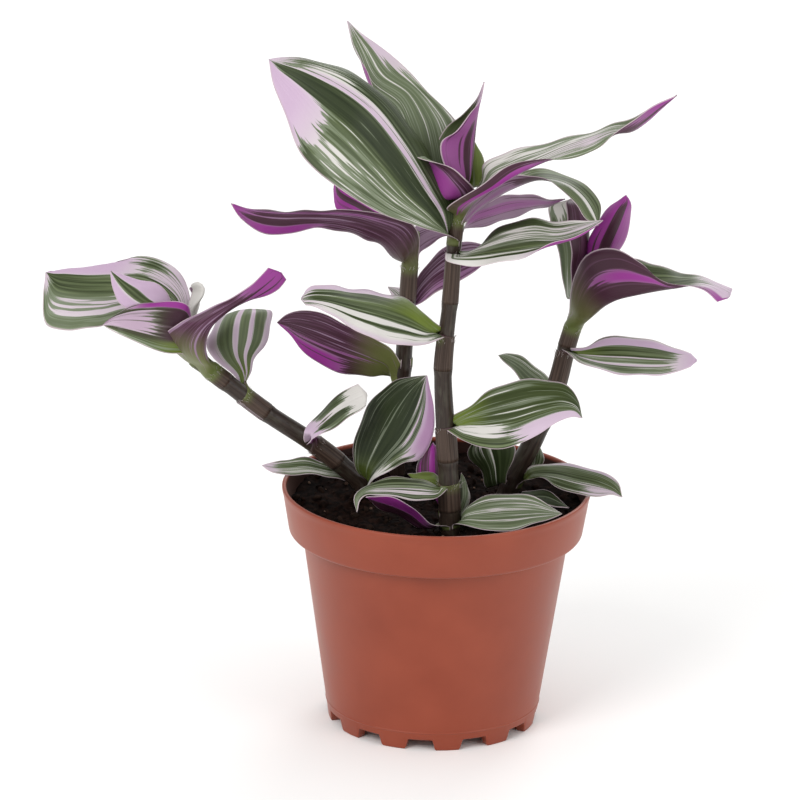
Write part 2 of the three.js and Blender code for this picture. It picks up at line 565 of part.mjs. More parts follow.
function potSolid() {
  let pot = toSolid(potBody());
  for (let i = 0; i < FOOT_COUNT; i += 1) {
    const turn = radians(FOOT_TURN + (i + 0.5) * 360 / FOOT_COUNT);
    pot = pot.subtract(toSolid(notch().rotateZ(turn)));
  }
  for (let i = 0; i < DRAIN_HOLES; i += 1) {
    const turn = radians(FOOT_TURN + i * 360 / DRAIN_HOLES);
    pot = pot.subtract(toSolid(drain().rotateZ(turn)));
  }
  return fromSolid(pot);
}

// ---------------------------------------------------------------- soil

function soilHeight(x, y) {
  const [longX, longY] = LUMP_LENGTHS;
  const [shortX, shortY] = SMALL_LUMP_LENGTHS;
  const large = Math.sin(x / longX + 1) * Math.sin(y / longY);
  const small = Math.sin(x / shortX - y / shortY);
  const away = Math.hypot(x - CLOD_CENTRE[0], y - CLOD_CENTRE[1]) / CLOD_SPREAD;
  return SOIL_LEVEL + LUMP_HEIGHT * (large + SMALL_LUMP_SHARE * small)
    + CLOD_HEIGHT * Math.exp(-away * away);
}

function soilBody() {
  const collarFoot = POT_HEIGHT - COLLAR_HEIGHT;
  const bodySlope = (BODY_TOP_RADIUS - BASE_RADIUS) / collarFoot;
  const collarSlope = (RIM_RADIUS - LIP_OVERHANG - COLLAR_FOOT_RADIUS) / COLLAR_HEIGHT;
  const collarRadius = COLLAR_FOOT_RADIUS + collarSlope * (SOIL_LEVEL - collarFoot);
  const topRadius = collarRadius - POT_WALL - SOIL_EDGE_GAP;
  const inset = POT_WALL + SOIL_SIDE_GAP;
  const bottom = FLOOR_UNDERSIDE + POT_WALL + SOIL_GAP;
  const step = collarFoot + POT_WALL + SOIL_GAP;
  const rings = [];
  for (let i = 1; i <= SOIL_RINGS; i += 1) {
    rings.push([topRadius * i / SOIL_RINGS, null]);
  }
  rings.push([topRadius, step]);
  rings.push([BODY_TOP_RADIUS - inset, step]);
  rings.push([BASE_RADIUS + bodySlope * bottom - inset, bottom]);
  const points = [0, 0, soilHeight(0, 0)];
  for (const [radius, z] of rings) {
    for (let j = 0; j < SOIL_SEGMENTS; j += 1) {
      const turn = 2 * Math.PI * (j + 0.5) / SOIL_SEGMENTS;
      const x = radius * Math.cos(turn);
      const y = radius * Math.sin(turn);
      points.push(x, y, z ?? soilHeight(x, y));
    }
  }
  points.push(0, 0, bottom);
  const base = 1 + rings.length * SOIL_SEGMENTS;
  const at = (i, j) => 1 + i * SOIL_SEGMENTS + j % SOIL_SEGMENTS;
  const last = rings.length - 1;
  const triangles = [];
  for (let j = 0; j < SOIL_SEGMENTS; j += 1) {
    triangles.push(0, at(0, j), at(0, j + 1));
    for (let i = 0; i < last; i += 1) {
      triangles.push(at(i, j), at(i + 1, j), at(i, j + 1));
      triangles.push(at(i, j + 1), at(i + 1, j), at(i + 1, j + 1));
    }
    triangles.push(at(last, j), base, at(last, j + 1));
  }
  return turnedOut(geometryOf(points, triangles));
}

function soilSolid() {
  let soil = toSolid(soilBody());
  for (const stem of Object.values(STEMS)) {
    soil = soil.subtract(toSolid(stemTube(stem, STEM_HOLE_GAP)));
  }
  return fromSolid(soil);
}

// ---------------------------------------------------------------- assembly

add('pot', potSolid(), COLORS.pot, ROUGHNESS.pot);
add('soil', soilSolid(), COLORS.soil, ROUGHNESS.soil);
for (const [name, stem] of Object.entries(STEMS)) {
  add(`stem_${name}`, stemTube(stem, 0), COLORS.stem, ROUGHNESS.stem);
}
for (const leaf of LEAVES) {
  add(leaf.name, leafBlade(leaf), COLORS.leaf, ROUGHNESS.leaf);
}

const footprint = new THREE.Box3().setFromObject(plant).getCenter(new THREE.Vector3());
plant.position.set(-footprint.x, -footprint.y, 0);

export default plant;
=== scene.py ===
# The looks of a potted tradescantia: four leafy stems in a terracotta-coloured nursery pot.
# Shapes are given in millimetres about the pot's own axis, with +Z up and the viewer at -Y.

import math
import random

import bpy
import numpy as np
from mathutils import Matrix, Vector, noise


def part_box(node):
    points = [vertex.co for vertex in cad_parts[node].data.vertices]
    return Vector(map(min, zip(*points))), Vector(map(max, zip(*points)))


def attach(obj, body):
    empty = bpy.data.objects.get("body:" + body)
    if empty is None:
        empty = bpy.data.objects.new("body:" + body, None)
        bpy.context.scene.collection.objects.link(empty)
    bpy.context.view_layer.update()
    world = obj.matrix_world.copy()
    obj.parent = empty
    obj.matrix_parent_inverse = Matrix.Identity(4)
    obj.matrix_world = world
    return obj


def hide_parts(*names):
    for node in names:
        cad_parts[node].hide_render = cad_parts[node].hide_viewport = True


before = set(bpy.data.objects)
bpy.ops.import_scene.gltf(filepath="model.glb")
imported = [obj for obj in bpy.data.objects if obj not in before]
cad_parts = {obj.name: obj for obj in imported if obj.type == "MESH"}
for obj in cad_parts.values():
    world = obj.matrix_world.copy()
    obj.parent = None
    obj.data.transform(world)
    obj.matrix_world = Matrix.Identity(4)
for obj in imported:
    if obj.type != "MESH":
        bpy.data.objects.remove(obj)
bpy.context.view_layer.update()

MM = 0.001
pot_low, pot_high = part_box("pot")
POT_AXIS = np.array([pot_low.x + pot_high.x, pot_low.y + pot_high.y, 0]) / (2 * MM)

# ------------------------------------------------------------------ camera and lights

# The rim's and the foot's ellipses in the photograph give the camera's place.
CAMERA_DISTANCE = 2200
CAMERA_ELEVATION = math.radians(18.2)
CAMERA_ROLL = math.radians(1.0)
PICTURE_WIDTH = 800
PIXELS_PER_MM = 2.54
POT_FOOT_PIXEL = (432.0, 712.3)
SENSOR_WIDTH = 36
CLIP_END = 50  # in metres, as are the studio's sizes

# Name, place, size across and watts of each soft light.
LIGHTS = (("key", (-1.3, -1.7, 1.7), 1.3, 30), ("fill", (1.7, -1.2, 0.9), 1.4, 10),
          ("back", (0.6, 1.8, 1.5), 1.2, 12))
LIT_POINT = Vector((0, 0, 0.13))
FLOOR_REACH = 12


def camera_axes():
    """The camera's right, up and ahead, and its eye in mm about the pot's axis."""
    rise, lean = CAMERA_ELEVATION, CAMERA_ROLL
    right = np.array([math.cos(lean), math.sin(lean) * math.sin(rise), math.sin(lean) * math.cos(rise)])
    up = np.array([-math.sin(lean), math.cos(lean) * math.sin(rise), math.cos(lean) * math.cos(rise)])
    ahead = np.array([0, math.cos(rise), -math.sin(rise)])
    aside = (POT_FOOT_PIXEL[0] - PICTURE_WIDTH / 2) / PIXELS_PER_MM
    below = (POT_FOOT_PIXEL[1] - PICTURE_WIDTH / 2) / PIXELS_PER_MM
    return right, up, ahead, below * up - aside * right - CAMERA_DISTANCE * ahead


CAMERA_RIGHT, CAMERA_UP, CAMERA_AHEAD, CAMERA_EYE = camera_axes()


def add_object(name, data):
    made = bpy.data.objects.new(name, data)
    bpy.context.scene.collection.objects.link(made)
    return made


def place_camera():
    data = bpy.data.cameras.new("camera")
    data.sensor_width = SENSOR_WIDTH
    data.lens = PIXELS_PER_MM * CAMERA_DISTANCE * SENSOR_WIDTH / PICTURE_WIDTH
    data.clip_end = CLIP_END
    camera = add_object("camera", data)
    axes = np.stack([CAMERA_RIGHT, CAMERA_UP, -CAMERA_AHEAD, (CAMERA_EYE + POT_AXIS) * MM], axis=1)
    camera.matrix_world = Matrix(axes.tolist() + [[0, 0, 0, 1]])
    bpy.context.scene.camera = camera


def seen_at(u, v, depth):
    """The place, in mm about the pot's axis, that shows at pixel (u, v) at the depth y."""
    focal = PIXELS_PER_MM * CAMERA_DISTANCE
    ray = (CAMERA_AHEAD + CAMERA_RIGHT * (u - PICTURE_WIDTH / 2) / focal
           - CAMERA_UP * (v - PICTURE_WIDTH / 2) / focal)
    return CAMERA_EYE + ray * (depth - CAMERA_EYE[1]) / ray[1]


# ------------------------------------------------------------------ sizes of the pot and the soil

RIM_RADIUS = 60
POT_HEIGHT = 94.5
COLLAR_FOOT = 76.3
COLLAR_FOOT_RADIUS = 57
COLLAR_SLOPE = 0.1375  # of its inside
BODY_TOP_RADIUS = 52
BASE_RADIUS = 40.8
WALL_SLOPE = (BODY_TOP_RADIUS - BASE_RADIUS) / COLLAR_FOOT
POT_WALL = 1.1
LIP_OVERHANG = 0.5
LIP_HEIGHT = 2.2
# From here down the inside wall is painted dark: painted shade, with some soil stain.
SHADE_AND_STAIN_TOP = 1.2  # below the rim
FOOT_COUNT = 12
FOOT_HEIGHT = 4.4
FOOT_RING_WIDTH = 3.4
FOOT_TURN = 8.4  # degrees from the front to the middle of the nearest foot
NOTCH_TOP_DEGREES = 13
NOTCH_BOTTOM_DEGREES = 17
PARTING_HEIGHT = 7.4  # of the fine line that the mould leaves above the feet
PARTING_RIDGE = 0.25
PARTING_SPREAD = 0.4
FLOOR_UNDERSIDE = 5.2
FLOOR_TOP = FLOOR_UNDERSIDE + POT_WALL
DRAIN_HOLES = 6
DRAIN_RADIUS = 4
DRAIN_CIRCLE = 24
DRAIN_BAND = 8  # from the holes' circle to the edges of the part of the floor that holds them
DRAIN_REACH = 0.55  # points this near to a hole's edge are drawn on to it
POT_TURNS = 480
FLOOR_RINGS = 16

SOIL_LEVEL = 84.5
SOIL_GAP = 0.1  # from the soil's edge to the pot
SOIL_TAPER = 0.8  # how much narrower the soil is at the collar's foot
SOIL_LUMPS = ((9, 1.5, 3.7, 1.0, 5), (2.2, 0.6, 8.1, 0.8, 3))  # width, height, place, softness, octaves
CLOD_HEIGHT = 4
CLOD_CENTRE = (-26, 36)
CLOD_SPREAD = 13
BACK_RISE = 4.5
SOIL_RINGS = 70
SOIL_TURNS = 220
CRUMB_COUNT = 420
SMALL_CRUMB = (0.35, 0.8)
LARGE_CRUMB = (0.8, 2.0)
SMALL_SHARE = 0.75  # of the crumbs are small
PALE_SHARE = 0.12  # of the small ones are pale

# ------------------------------------------------------------------ sizes of the stems and leaves

STEM_DEPTH = 24  # below the soil's level
STEM_TURNS = 28
STEM_STEP = 1.2
STEM_END = 2.5  # length of its rounded end
STEM_END_SHARE = 0.1  # radius left at the end
NODE_SWELLING = 0.3
NODE_SPREAD = 1.3
NODE_DROP = 0.6  # of the swelling, below the node
YOUNG_PART = 26  # length of each stem's green end

LEAF_THICKNESS = 0.5
MARGIN_SHARE = 0.3  # thickness of the margins, as a share of the middle's
SHEATH_SHARE = 0.5  # thickness of the sheath, as a share of the blade's
MIDRIB_DEPTH = 0.35
MIDRIB_SPREAD = 1.1
MARGIN_WAVE = 0.45  # height of the waves along the margins
WAVE_LENGTH = (13, 19)
TIP_WIDTH = 0.5
BLUNT_CORNER = 0.14  # rounding of a blunt tip, as a share of its width
ROW_STEP = 1.5  # between a leaf's rows of points
COLUMNS = 24

SHEATH_GAP = 0.15  # from the stem
SHEATH_STEP = 8  # the blade's curves start this far down the sheath at most
SHORT_SHEATH = 6  # sheaths below this length are green, and have no hairs
SHORT_SHEATH_GREEN = 0.8
GREEN_REACH = 4  # of the blade's green down the sheath
HAIRS_A_MOUTH = 34
HAIR_RADIUS = 0.07
HAIR_LENGTH = (1.0, 2.6)
HAIR_BEND = 0.55  # where it bends, along its length
HAIR_TAPER = 0.75  # radius left there
HAIR_SAG = 0.35  # how far its end leans out, as a share of its length

# Radius at the foot and at the top, and points on the axis from the soil up.
STEMS = {
    "left": ((3.7, 3.3), [(-24, 13, 78), (-28, 12, 89), (-38, 10, 99.5), (-48.5, 8, 108.5), (-66, 4, 121.5),
                          (-81, 0, 134.5), (-92, -2, 144), (-98.5, -3, 151), (-101.5, -3, 155)]),
    "middle": ((3.7, 2.9), [(-16, 30, 78), (-16, 30, 92), (-15.5, 28, 112), (-14, 26, 130.5),
                            (-12.9, 24, 154), (-12.1, 22, 171), (-11.5, 21, 184), (-11, 20, 193)]),
    "front": ((4.0, 2.5), [(5.5, -24, 78), (5.3, -24, 88), (4, -24, 112), (2.6, -23, 129),
                           (1.5, -22, 148.5), (2.4, -21, 162.5), (3.6, -20, 175), (5, -18, 201),
                           (6.3, -17, 213), (7.3, -16, 222)]),
    "right": ((4.0, 3.0), [(26, 14, 78), (28, 14, 87.5), (31.5, 14, 96.5), (37.5, 14, 109), (46, 15, 131.5),
                           (49.5, 16, 146.5), (53, 17, 159.5), (55, 18, 169.5), (56, 18, 176)]),
}


def leaf(name, stem, node, sheath, clasp, side, width, opening=5):
    """A leaf, by the height at which it leaves its stem, the length of its sheath, the degrees that the
    sheath reaches round the stem, the way the leaf sets out, the width over which its veins are spread,
    and the distance over which the sheath opens into the blade."""
    return dict(name=name, stem=stem, node=node, sheath=sheath, clasp=math.radians(clasp), side=side,
                width=width, opening=opening)


LEAVES = [
    leaf("leaf_left_1", "left", 90.5, 2, 110, (-0.3, 1, 0.2), 18),
    leaf("leaf_left_2", "left", 100, 12, 350, (0.4, -0.5, 0.8), 15),
    leaf("leaf_left_3", "left", 122, 12, 350, (0.5, 0.8, 0.6), 22),
    leaf("leaf_left_4", "left", 135.5, 7, 350, (0.6, -0.7, 0.3), 20, opening=10),
    leaf("leaf_left_5", "left", 144.5, 1.5, 170, (-0.6, -0.5, -0.5), 21),
    leaf("leaf_left_6", "left", 148, 1, 90, (0.7, -0.5, 0.5), 16),
    leaf("leaf_left_7", "left", 153.3, 1, 90, (-0.4, 1, 0), 28),
    leaf("leaf_left_8", "left", 145.5, 1.5, 80, (0.9, 0.3, 0.3), 9),
    leaf("leaf_foot_left", "left", 87, 1.5, 130, (0.6, -0.9, 0.2), 27),
    leaf("leaf_middle_1", "middle", 124, 3, 300, (-0.9, -0.3, 0), 26),
    leaf("leaf_middle_2", "middle", 146, 11, 350, (0.9, 0.3, 0.3), 16),
    leaf("leaf_middle_3", "middle", 135, 3, 300, (-0.3, 1, 0.4), 14),
    leaf("leaf_middle_4", "middle", 163, 14, 350, (-0.9, -0.3, 0.2), 22),
    leaf("leaf_middle_5", "middle", 183, 2, 170, (0.9, 0.2, 0), 16),
    leaf("leaf_middle_6", "middle", 188.5, 2, 150, (-0.2, 1, 0), 20),
    leaf("leaf_front_1", "front", 93, 11, 350, (-0.9, -0.6, 0), 17),
    leaf("leaf_front_2", "front", 113, 13, 350, (0.9, -0.5, 0), 26),
    leaf("leaf_front_3", "front", 149, 13, 350, (-0.9, -0.5, 0), 22),
    leaf("leaf_front_4", "front", 175, 19, 350, (0.9, -0.5, 0), 20),
    leaf("leaf_front_5", "front", 197.5, 2, 180, (-0.8, -0.7, 0), 38),
    leaf("leaf_front_6", "front", 200.5, 1.5, 120, (0.6, 0.8, 0), 20),
    leaf("leaf_front_7", "front", 204.5, 1.5, 110, (1, 0, 0), 22),
    leaf("leaf_front_8", "front", 199.5, 8, 300, (0.5, -0.9, 0), 19),
    leaf("leaf_front_9", "front", 213, 1.5, 160, (-0.9, 0.5, 0), 24, opening=8),
    leaf("leaf_front_10", "front", 218, 1, 120, (0.2, -1, 0), 17),
    leaf("leaf_foot_front_1", "front", 86.5, 1.5, 100, (0.9, -0.5, 0), 20),
    leaf("leaf_foot_front_2", "front", 86, 1.5, 100, (-0.8, -0.7, 0), 15),
    leaf("leaf_foot_front_3", "front", 87, 1, 80, (0.3, 0.9, 0), 11),
    leaf("leaf_right_0", "right", 86, 1, 80, (0.6, -0.8, 0), 13),
    leaf("leaf_right_1", "right", 91, 1.5, 100, (1, -0.2, 0), 20),
    leaf("leaf_right_2", "right", 91, 1.5, 100, (-1, -0.1, 0), 20),
    leaf("leaf_right_3", "right", 94, 1.5, 90, (0.2, 1, 0), 13),
    leaf("leaf_right_4", "right", 116.5, 9, 350, (-0.6, 0.8, 0.2), 16),
    leaf("leaf_right_5", "right", 132, 13, 350, (0.9, -0.4, 0), 18),
    leaf("leaf_right_6", "right", 147, 8, 350, (0.6, -0.8, 0), 27, opening=9),
    leaf("leaf_right_7", "right", 165, 2, 200, (-0.7, 0.6, 0), 20),
    leaf("leaf_right_8", "right", 170.5, 2, 180, (0.7, 0.3, 0.4), 21),
    leaf("young_foot", "front", 89, 1, 80, (-0.6, 0.8, 0), 7),
    leaf("young_front_1", "front", 91, 1, 100, (-0.9, 0.4, 0), 8),
    leaf("young_front_11", "front", 219, 1, 90, (1, 0.2, 0), 5),
]

# Where the blades lie beyond their sheaths, in rows from base to tip: left margin, midrib and right
# margin, each as (pixel across, pixel down, depth y in mm) for seen_at. A row of one is the tip.
BLADES = {
    "leaf_front_5": [
        ((418, 226.5, -33), (442, 214, -26), (457, 207, -18)),
        ((381, 213.5, -39), (425, 187, -29), (444, 180, -14)),
        ((342, 190.5, -46), (400, 148, -34), (415, 133, -16)),
        ((313, 168, -48), (370, 111, -37), (384, 97, -20)),
        ((299, 151, -46), (340, 88, -36), (349, 72.5, -24)),
        ((285, 114, -41), (305, 71, -33), (309, 60, -27)),
        ((273, 84, -35), (283, 64, -30), (285, 57, -28)),
        ((269, 59.5, -28),)],
    "leaf_front_9": [
        ((475, 193, -24), (440, 197, -21), (470, 180, -6)),
        ((460, 174, -29), (428, 172, -17), (468, 150, -5)),
        ((437, 162.5, -30), (421, 147, -12), (462, 130, -5)),
        ((411, 154, -28), (413, 125, -9), (453, 117, -4)),
        ((398, 136, -23), (401, 100, -5), (430, 94, -2)),
        ((380, 99, -15), (374, 80, -2), (407, 69, 2)),
        ((366, 71, -7), (361, 52, 3), (380.5, 46.5, 6)),
        ((353, 46, 3), (353, 34, 8), (360, 32, 9)),
        ((347.5, 21, 12),)],
    "leaf_front_10": [
        ((441, 178, -12), (469, 180, -14), (452, 182, -20)),
        ((435, 159, -9), (472, 160, -11), (441, 157, -20)),
        ((437, 143, -7), (474, 140, -10), (442, 142, -20)),
        ((447, 127, -7), (476, 122, -9), (455, 131, -19)),
        ((462, 114, -8), (478, 109, -10), (470, 115, -16)),
        ((475, 101, -10), (481, 96, -12), (479, 101, -14)),
        ((484, 82, -14),)],
    "leaf_front_8": [
        ((481, 180, -14), (476, 200, -26), (449, 205, -33)),
        ((485, 163, -15), (498, 185, -28), (478, 188, -34)),
        ((508, 151.5, -15), (519, 173, -29), (505, 167, -33)),
        ((532, 146, -16), (542, 162, -29), (530, 160, -32)),
        ((558, 139.5, -18), (565, 152, -28), (557, 160, -31)),
        ((588, 132.5, -19), (592, 142, -26), (590, 152.5, -28)),
        ((612, 124.5, -19), (613, 133, -26), (613, 136, -31)),
        ((629, 119, -17), (631, 131.5, -25), (629, 123, -31)),
        ((645, 111, -16), (647, 121.5, -22), (645, 111, -27)),
        ((660, 103, -17), (662, 108, -20), (660, 102.5, -23)),
        ((677, 95, -19),)],
    "leaf_front_7": [
        ((478, 192, -8), (472, 214, -18), (476, 200, -22)),
        ((496, 181, -3), (491, 200, -13), (494, 184, -21)),
        ((518, 172, 1), (513, 188, -9), (517, 174.5, -18)),
        ((541, 169, 4), (541, 179, -6), (540, 178, -15)),
        ((567, 175, 5), (567, 184, -4), (560, 187.5, -12)),
        ((588, 188, 4), (583, 196, -3), (575, 204, -9)),
        ((601, 204, 3), (593, 211, -2), (585, 218, -6)),
        ((598, 226, -1),)],
    "leaf_front_6": [
        ((474, 228, -6), (473, 219, -9), (474, 209, -12)),
        ((492, 224.5, -2), (491, 212, -7), (491, 201, -12)),
        ((513, 217.5, 3), (513, 206, -3), (512, 194, -10)),
        ((535, 210, 6), (536, 203.5, 0), (534, 195.5, -7)),
        ((552, 205, 7), (553, 202, 3), (551, 199, -2)),
        ((565, 199, 4),)],
    "leaf_front_4": [
        ((474, 250, -22), (462, 256, -29), (447, 261.5, -29)),
        ((486, 238, -20), (484, 251, -31), (470, 266, -36)),
        ((504, 225, -18), (507, 246, -31), (499, 263, -40)),
        ((530, 218.5, -19), (533, 242, -33), (527, 256, -41)),
        ((553, 221, -22), (560, 240.5, -35), (556, 241.5, -42)),
        ((577, 221, -27), (582, 233, -36), (580, 234.5, -40)),
        ((603, 220.5, -34),)],
    "leaf_front_3": [
        ((426, 344.5, -33), (425, 328, -29), (431, 320, -24)),
        ((405, 345.5, -39), (407, 318, -31), (412, 302, -22)),
        ((378, 340.5, -44), (381, 309, -34), (383, 293, -23)),
        ((350, 327, -45), (353, 303, -36), (355, 289, -26)),
        ((327, 312.5, -43), (328, 298, -37), (330, 285.5, -30)),
        ((313, 306.5, -40), (311, 297, -37), (311, 286, -34)),
        ((301.5, 305, -38), (301, 299, -37), (303, 293, -36))],
    "leaf_front_2": [
        ((468, 407, -25), (466, 425, -31), (464, 441, -35)),
        ((488, 391.5, -24), (487, 424, -35), (484, 448, -42)),
        ((515, 381, -25), (514, 420, -38), (511, 447, -46)),
        ((543, 379.5, -28), (540, 412, -40), (537, 435, -46)),
        ((566, 385, -32), (562, 407, -41), (560, 421, -45)),
        ((578, 399, -37), (575, 409, -41), (573, 417, -43)),
        ((582, 418, -41),)],
    "leaf_front_1": [
        ((436, 498.5, -34), (439, 490, -30), (440, 487, -26)),
        ((418, 500.5, -38), (420, 488.5, -32), (420, 479, -25)),
        ((397, 497.5, -40), (399, 487.5, -34), (400, 477, -26)),
        ((378, 495, -40), (379, 488, -36), (380, 479.5, -29)),
        ((367, 495, -40), (365, 491, -38), (364, 487, -34)),
        ((360, 501, -41), (357, 499, -40), (354, 498, -39)),
        ((357, 512, -43),)],
    "leaf_foot_front_1": [
        ((466, 507, -27), (466, 516, -32), (466, 525, -37)),
        ((485, 496.5, -24), (486, 513, -32), (487, 531, -40)),
        ((508, 493.5, -24), (511, 511, -32), (513, 530, -40)),
        ((533, 496.5, -25), (534, 511, -31), (535, 524, -38)),
        ((562, 514, -31),)],
    "leaf_foot_front_2": [
        ((430, 524, -33), (428, 527, -30), (426, 530, -27)),
        ((413, 507, -38), (411, 515, -33), (409, 522, -28)),
        ((396, 499, -41), (394, 507, -35), (393, 514, -30)),
        ((380, 496, -42), (379, 502, -37), (379, 508, -33)),
        ((366, 497, -40),)],
    "leaf_right_6": [
        ((594, 302, 21), (590, 317, 5), (570, 302, 8)),
        ((606, 284, 20), (602, 306, 1), (575, 273, 1)),
        ((618, 264, 18), (617, 299, -3), (592, 251.5, -6)),
        ((636, 258.5, 14), (636, 294.5, -5), (618, 249.5, -10)),
        ((656, 265, 11), (657, 290.5, -6), (641, 263, -11)),
        ((677, 271, 8), (677, 287.5, -6), (663, 281.5, -10)),
        ((697, 275.5, 5), (696, 284, -5), (686, 286, -9)),
        ((714, 281, 3), (712, 287, -5), (705, 291, -9)),
        ((736.5, 290.5, 0), (729, 297.5, -5), (719.5, 304.5, -9))],
    "leaf_right_8": [
        ((607, 262, 20), (597, 262, 12), (585, 263, 16)),
        ((623, 247, 19), (604, 243, 10), (589, 241, 15)),
        ((628, 228, 18), (613, 224, 8), (597, 222, 14)),
        ((632, 212, 16), (620, 210, 8), (609, 208, 13)),
        ((631, 203, 13), (625, 202, 10), (619, 200, 12)),
        ((626, 195, 11),)],
    "leaf_right_7": [
        ((566, 298, 24), (573, 290, 14), (572, 292, 10)),
        ((562, 272, 26), (580, 268, 17), (571.5, 268, 8)),
        ((557, 248, 29), (587, 247, 18), (570.5, 248, 8)),
        ((551, 225, 31), (588, 226, 20), (567.5, 224, 10)),
        ((548, 210, 32), (583, 208, 22), (566, 207, 13)),
        ((550, 202.5, 31), (572, 199, 24), (565, 199, 17))],
    "leaf_right_5": [
        ((584, 347.5, 9), (582, 355.5, 4), (580, 362, -1)),
        ((600, 338.5, 10), (600, 358, 2), (598, 369.5, -5)),
        ((625, 336, 11), (625, 359.5, 1), (624, 374.5, -7)),
        ((652, 340.5, 10), (652, 361, 0), (650, 375.5, -7)),
        ((678, 348.5, 7), (676, 361.5, 0), (676, 372.3, -5)),
        ((694, 355, 3), (697, 360.5, 0), (694, 365.5, -2))],
    "leaf_right_4": [
        ((536, 392, 22), (541, 383, 26), (546, 374, 30)),
        ((524, 384, 24), (530, 374, 29), (533, 365, 33)),
        ((513, 371, 27), (518, 364, 31), (519, 355, 35)),
        ((503, 361, 30), (504, 357, 32), (507, 353, 34)),
        ((498.5, 355.5, 32),)],
    "leaf_right_3": [
        ((530, 468, 26), (535, 466, 24), (541, 465, 27)),
        ((533, 455, 26), (538, 454, 23), (544, 456, 27)),
        ((539, 446, 25),)],
    "leaf_right_2": [
        ((487, 487, 2), (497, 484, -1), (506, 480, 2)),
        ((480, 470, -1), (495, 466, -5), (511, 463, 0)),
        ((467, 453, -4), (490, 448, -9), (516, 448, -2)),
        ((484, 432, -11),)],
    "leaf_right_1": [
        ((533, 466, 4), (534, 474, 0), (541, 478, -5)),
        ((553, 463, 4), (554, 474, -3), (556, 486.5, -9)),
        ((577, 465.5, 2), (577, 479, -5), (576, 494, -11)),
        ((602.5, 472, -3), (599, 484, -8), (597, 496.5, -12)),
        ((618.5, 482.5, -8), (614, 490, -10), (612, 495, -12)),
        ((622, 497, -12),)],
    "leaf_right_0": [
        ((528, 491, -2), (528, 497, -6), (528, 503, -10)),
        ((545, 489.5, -4), (546, 497, -8), (547, 505, -13)),
        ((569, 508, -14),)],
    "leaf_middle_1": [
        ((394, 352, 20), (388, 365, 22), (384, 376, 25)),
        ((378, 340, 15), (372, 356, 17), (368, 376, 21)),
        ((352, 328, 12), (347, 346, 14), (345, 374, 18)),
        ((327, 315, 10), (322, 336, 12), (321, 365, 16)),
        ((303, 310, 10), (300, 328, 11), (302, 350, 14)),
        ((287, 314, 11), (287, 324, 11.5), (289, 334, 12.5)),
        ((277, 322.5, 12),)],
    "leaf_middle_4": [
        ((419, 237, 12), (404, 255, 12), (397, 260, 20)),
        ((411, 223, 8), (391, 238, 11), (381, 246, 16)),
        ((372, 212, 10), (365, 226, 9), (360, 237, 13)),
        ((343, 209.5, 8), (337, 220, 7), (333, 229.5, 10)),
        ((312, 210.5, 7), (308, 219, 5), (306, 229.5, 8)),
        ((284, 211, 7), (281, 220, 4), (279, 235.5, 7)),
        ((260, 209.5, 6), (257, 217, 4), (256, 230, 6)),
        ((243, 207, 5), (242, 211, 4), (240.5, 218.5, 5)),
        ((231, 203.5, 4),)],
    "leaf_middle_2": [
        ((421, 303, 24), (416, 297, 26), (413, 288, 28)),
        ((436, 293, 24), (431, 277, 28), (424, 268, 32)),
        ((456, 283, 26), (450, 263, 31), (441, 250, 36)),
        ((476, 271, 30), (473, 255, 34), (466, 241, 38)),
        ((496, 250, 36),)],
    "leaf_middle_3": [
        ((404, 330, 30), (404, 322, 33), (404, 314, 35)),
        ((402, 312, 36), (404, 303, 38), (408, 296, 40)),
        ((393, 298, 40), (396, 292, 42), (401, 288, 44)),
        ((388, 287, 46),)],
    "leaf_foot_front_3": [
        ((458, 508, -16), (462, 505, -18), (466, 508, -14)),
        ((460, 495, -14), (464, 492, -16), (470, 494, -12)),
        ((460, 482, -12), (463, 481, -13), (467.5, 484, -11)),
        ((461.5, 473, -11),)],
    "young_foot": [
        ((441, 482, -16), (432, 484, -18), (420, 482, -14)),
        ((441, 464, -14), (430, 466, -17), (417, 466, -12)),
        ((439, 450, -12), (431, 450, -14), (422, 452, -11)),
        ((433, 443, -11),)],
    "young_front_1": [
        ((437, 490, -20), (436, 483, -22), (437, 475, -18)),
        ((424, 491, -20), (423, 482, -22), (422, 472.5, -17)),
        ((408, 474, -17),)],
    "young_front_11": [
        ((465, 182, -7), (475, 185, -10), (485, 182, -6)),
        ((464, 166, -6), (475, 166, -9), (484.5, 167, -5)),
        ((465, 153, -5), (474, 152, -8), (481, 154, -5)),
        ((474, 141, -7),)],
    "leaf_middle_5": [
        ((418, 258, 22), (413, 252, 19), (410, 246, 22)),
        ((422, 251, 26), (415, 241, 22), (412, 230, 27)),
        ((436, 241, 30), (430, 232, 27), (425, 224, 31)),
        ((456, 232, 34),)],
    "leaf_middle_6": [
        ((402, 220, 24), (398, 226, 26), (394, 234, 29)),
        ((383, 205, 28), (380, 217, 31), (376, 230, 34)),
        ((362, 188, 32), (358, 205, 36), (356, 222, 39)),
        ((343, 172, 36), (338, 192, 39), (338, 211, 41)),
        ((345, 166, 40), (337, 173, 42), (332.5, 187, 42))],
    "leaf_foot_left": [
        ((354, 466, 2), (369, 471, -4), (380, 476, -12)),
        ((354, 444, 4), (379, 452, -5), (402, 464, -14)),
        ((361, 420, 5), (391, 432, -6), (420, 459, -14)),
        ((375, 396, 4), (403, 411, -7), (433, 436, -13)),
        ((394, 381.5, 2), (414, 393, -7), (434, 408, -11)),
        ((412, 376.5, -2), (421, 383, -7), (430, 388, -9)),
        ((427, 375.5, -8),)],
    "leaf_left_1": [
        ((325, 476, 9), (325, 470, 12), (325, 463, 14)),
        ((307, 474.5, 7), (306, 466, 10), (305, 457, 13)),
        ((288, 475, 6), (288, 467, 9), (287, 459.5, 12)),
        ((273, 473, 7), (273, 467, 9), (273, 462, 10)),
        ((262, 465.5, 9),)],
    "leaf_left_2": [
        ((305, 431, -6), (311, 433, -10), (317, 436.5, -13)),
        ((316, 417, -4), (324, 421, -10), (334, 428.5, -14)),
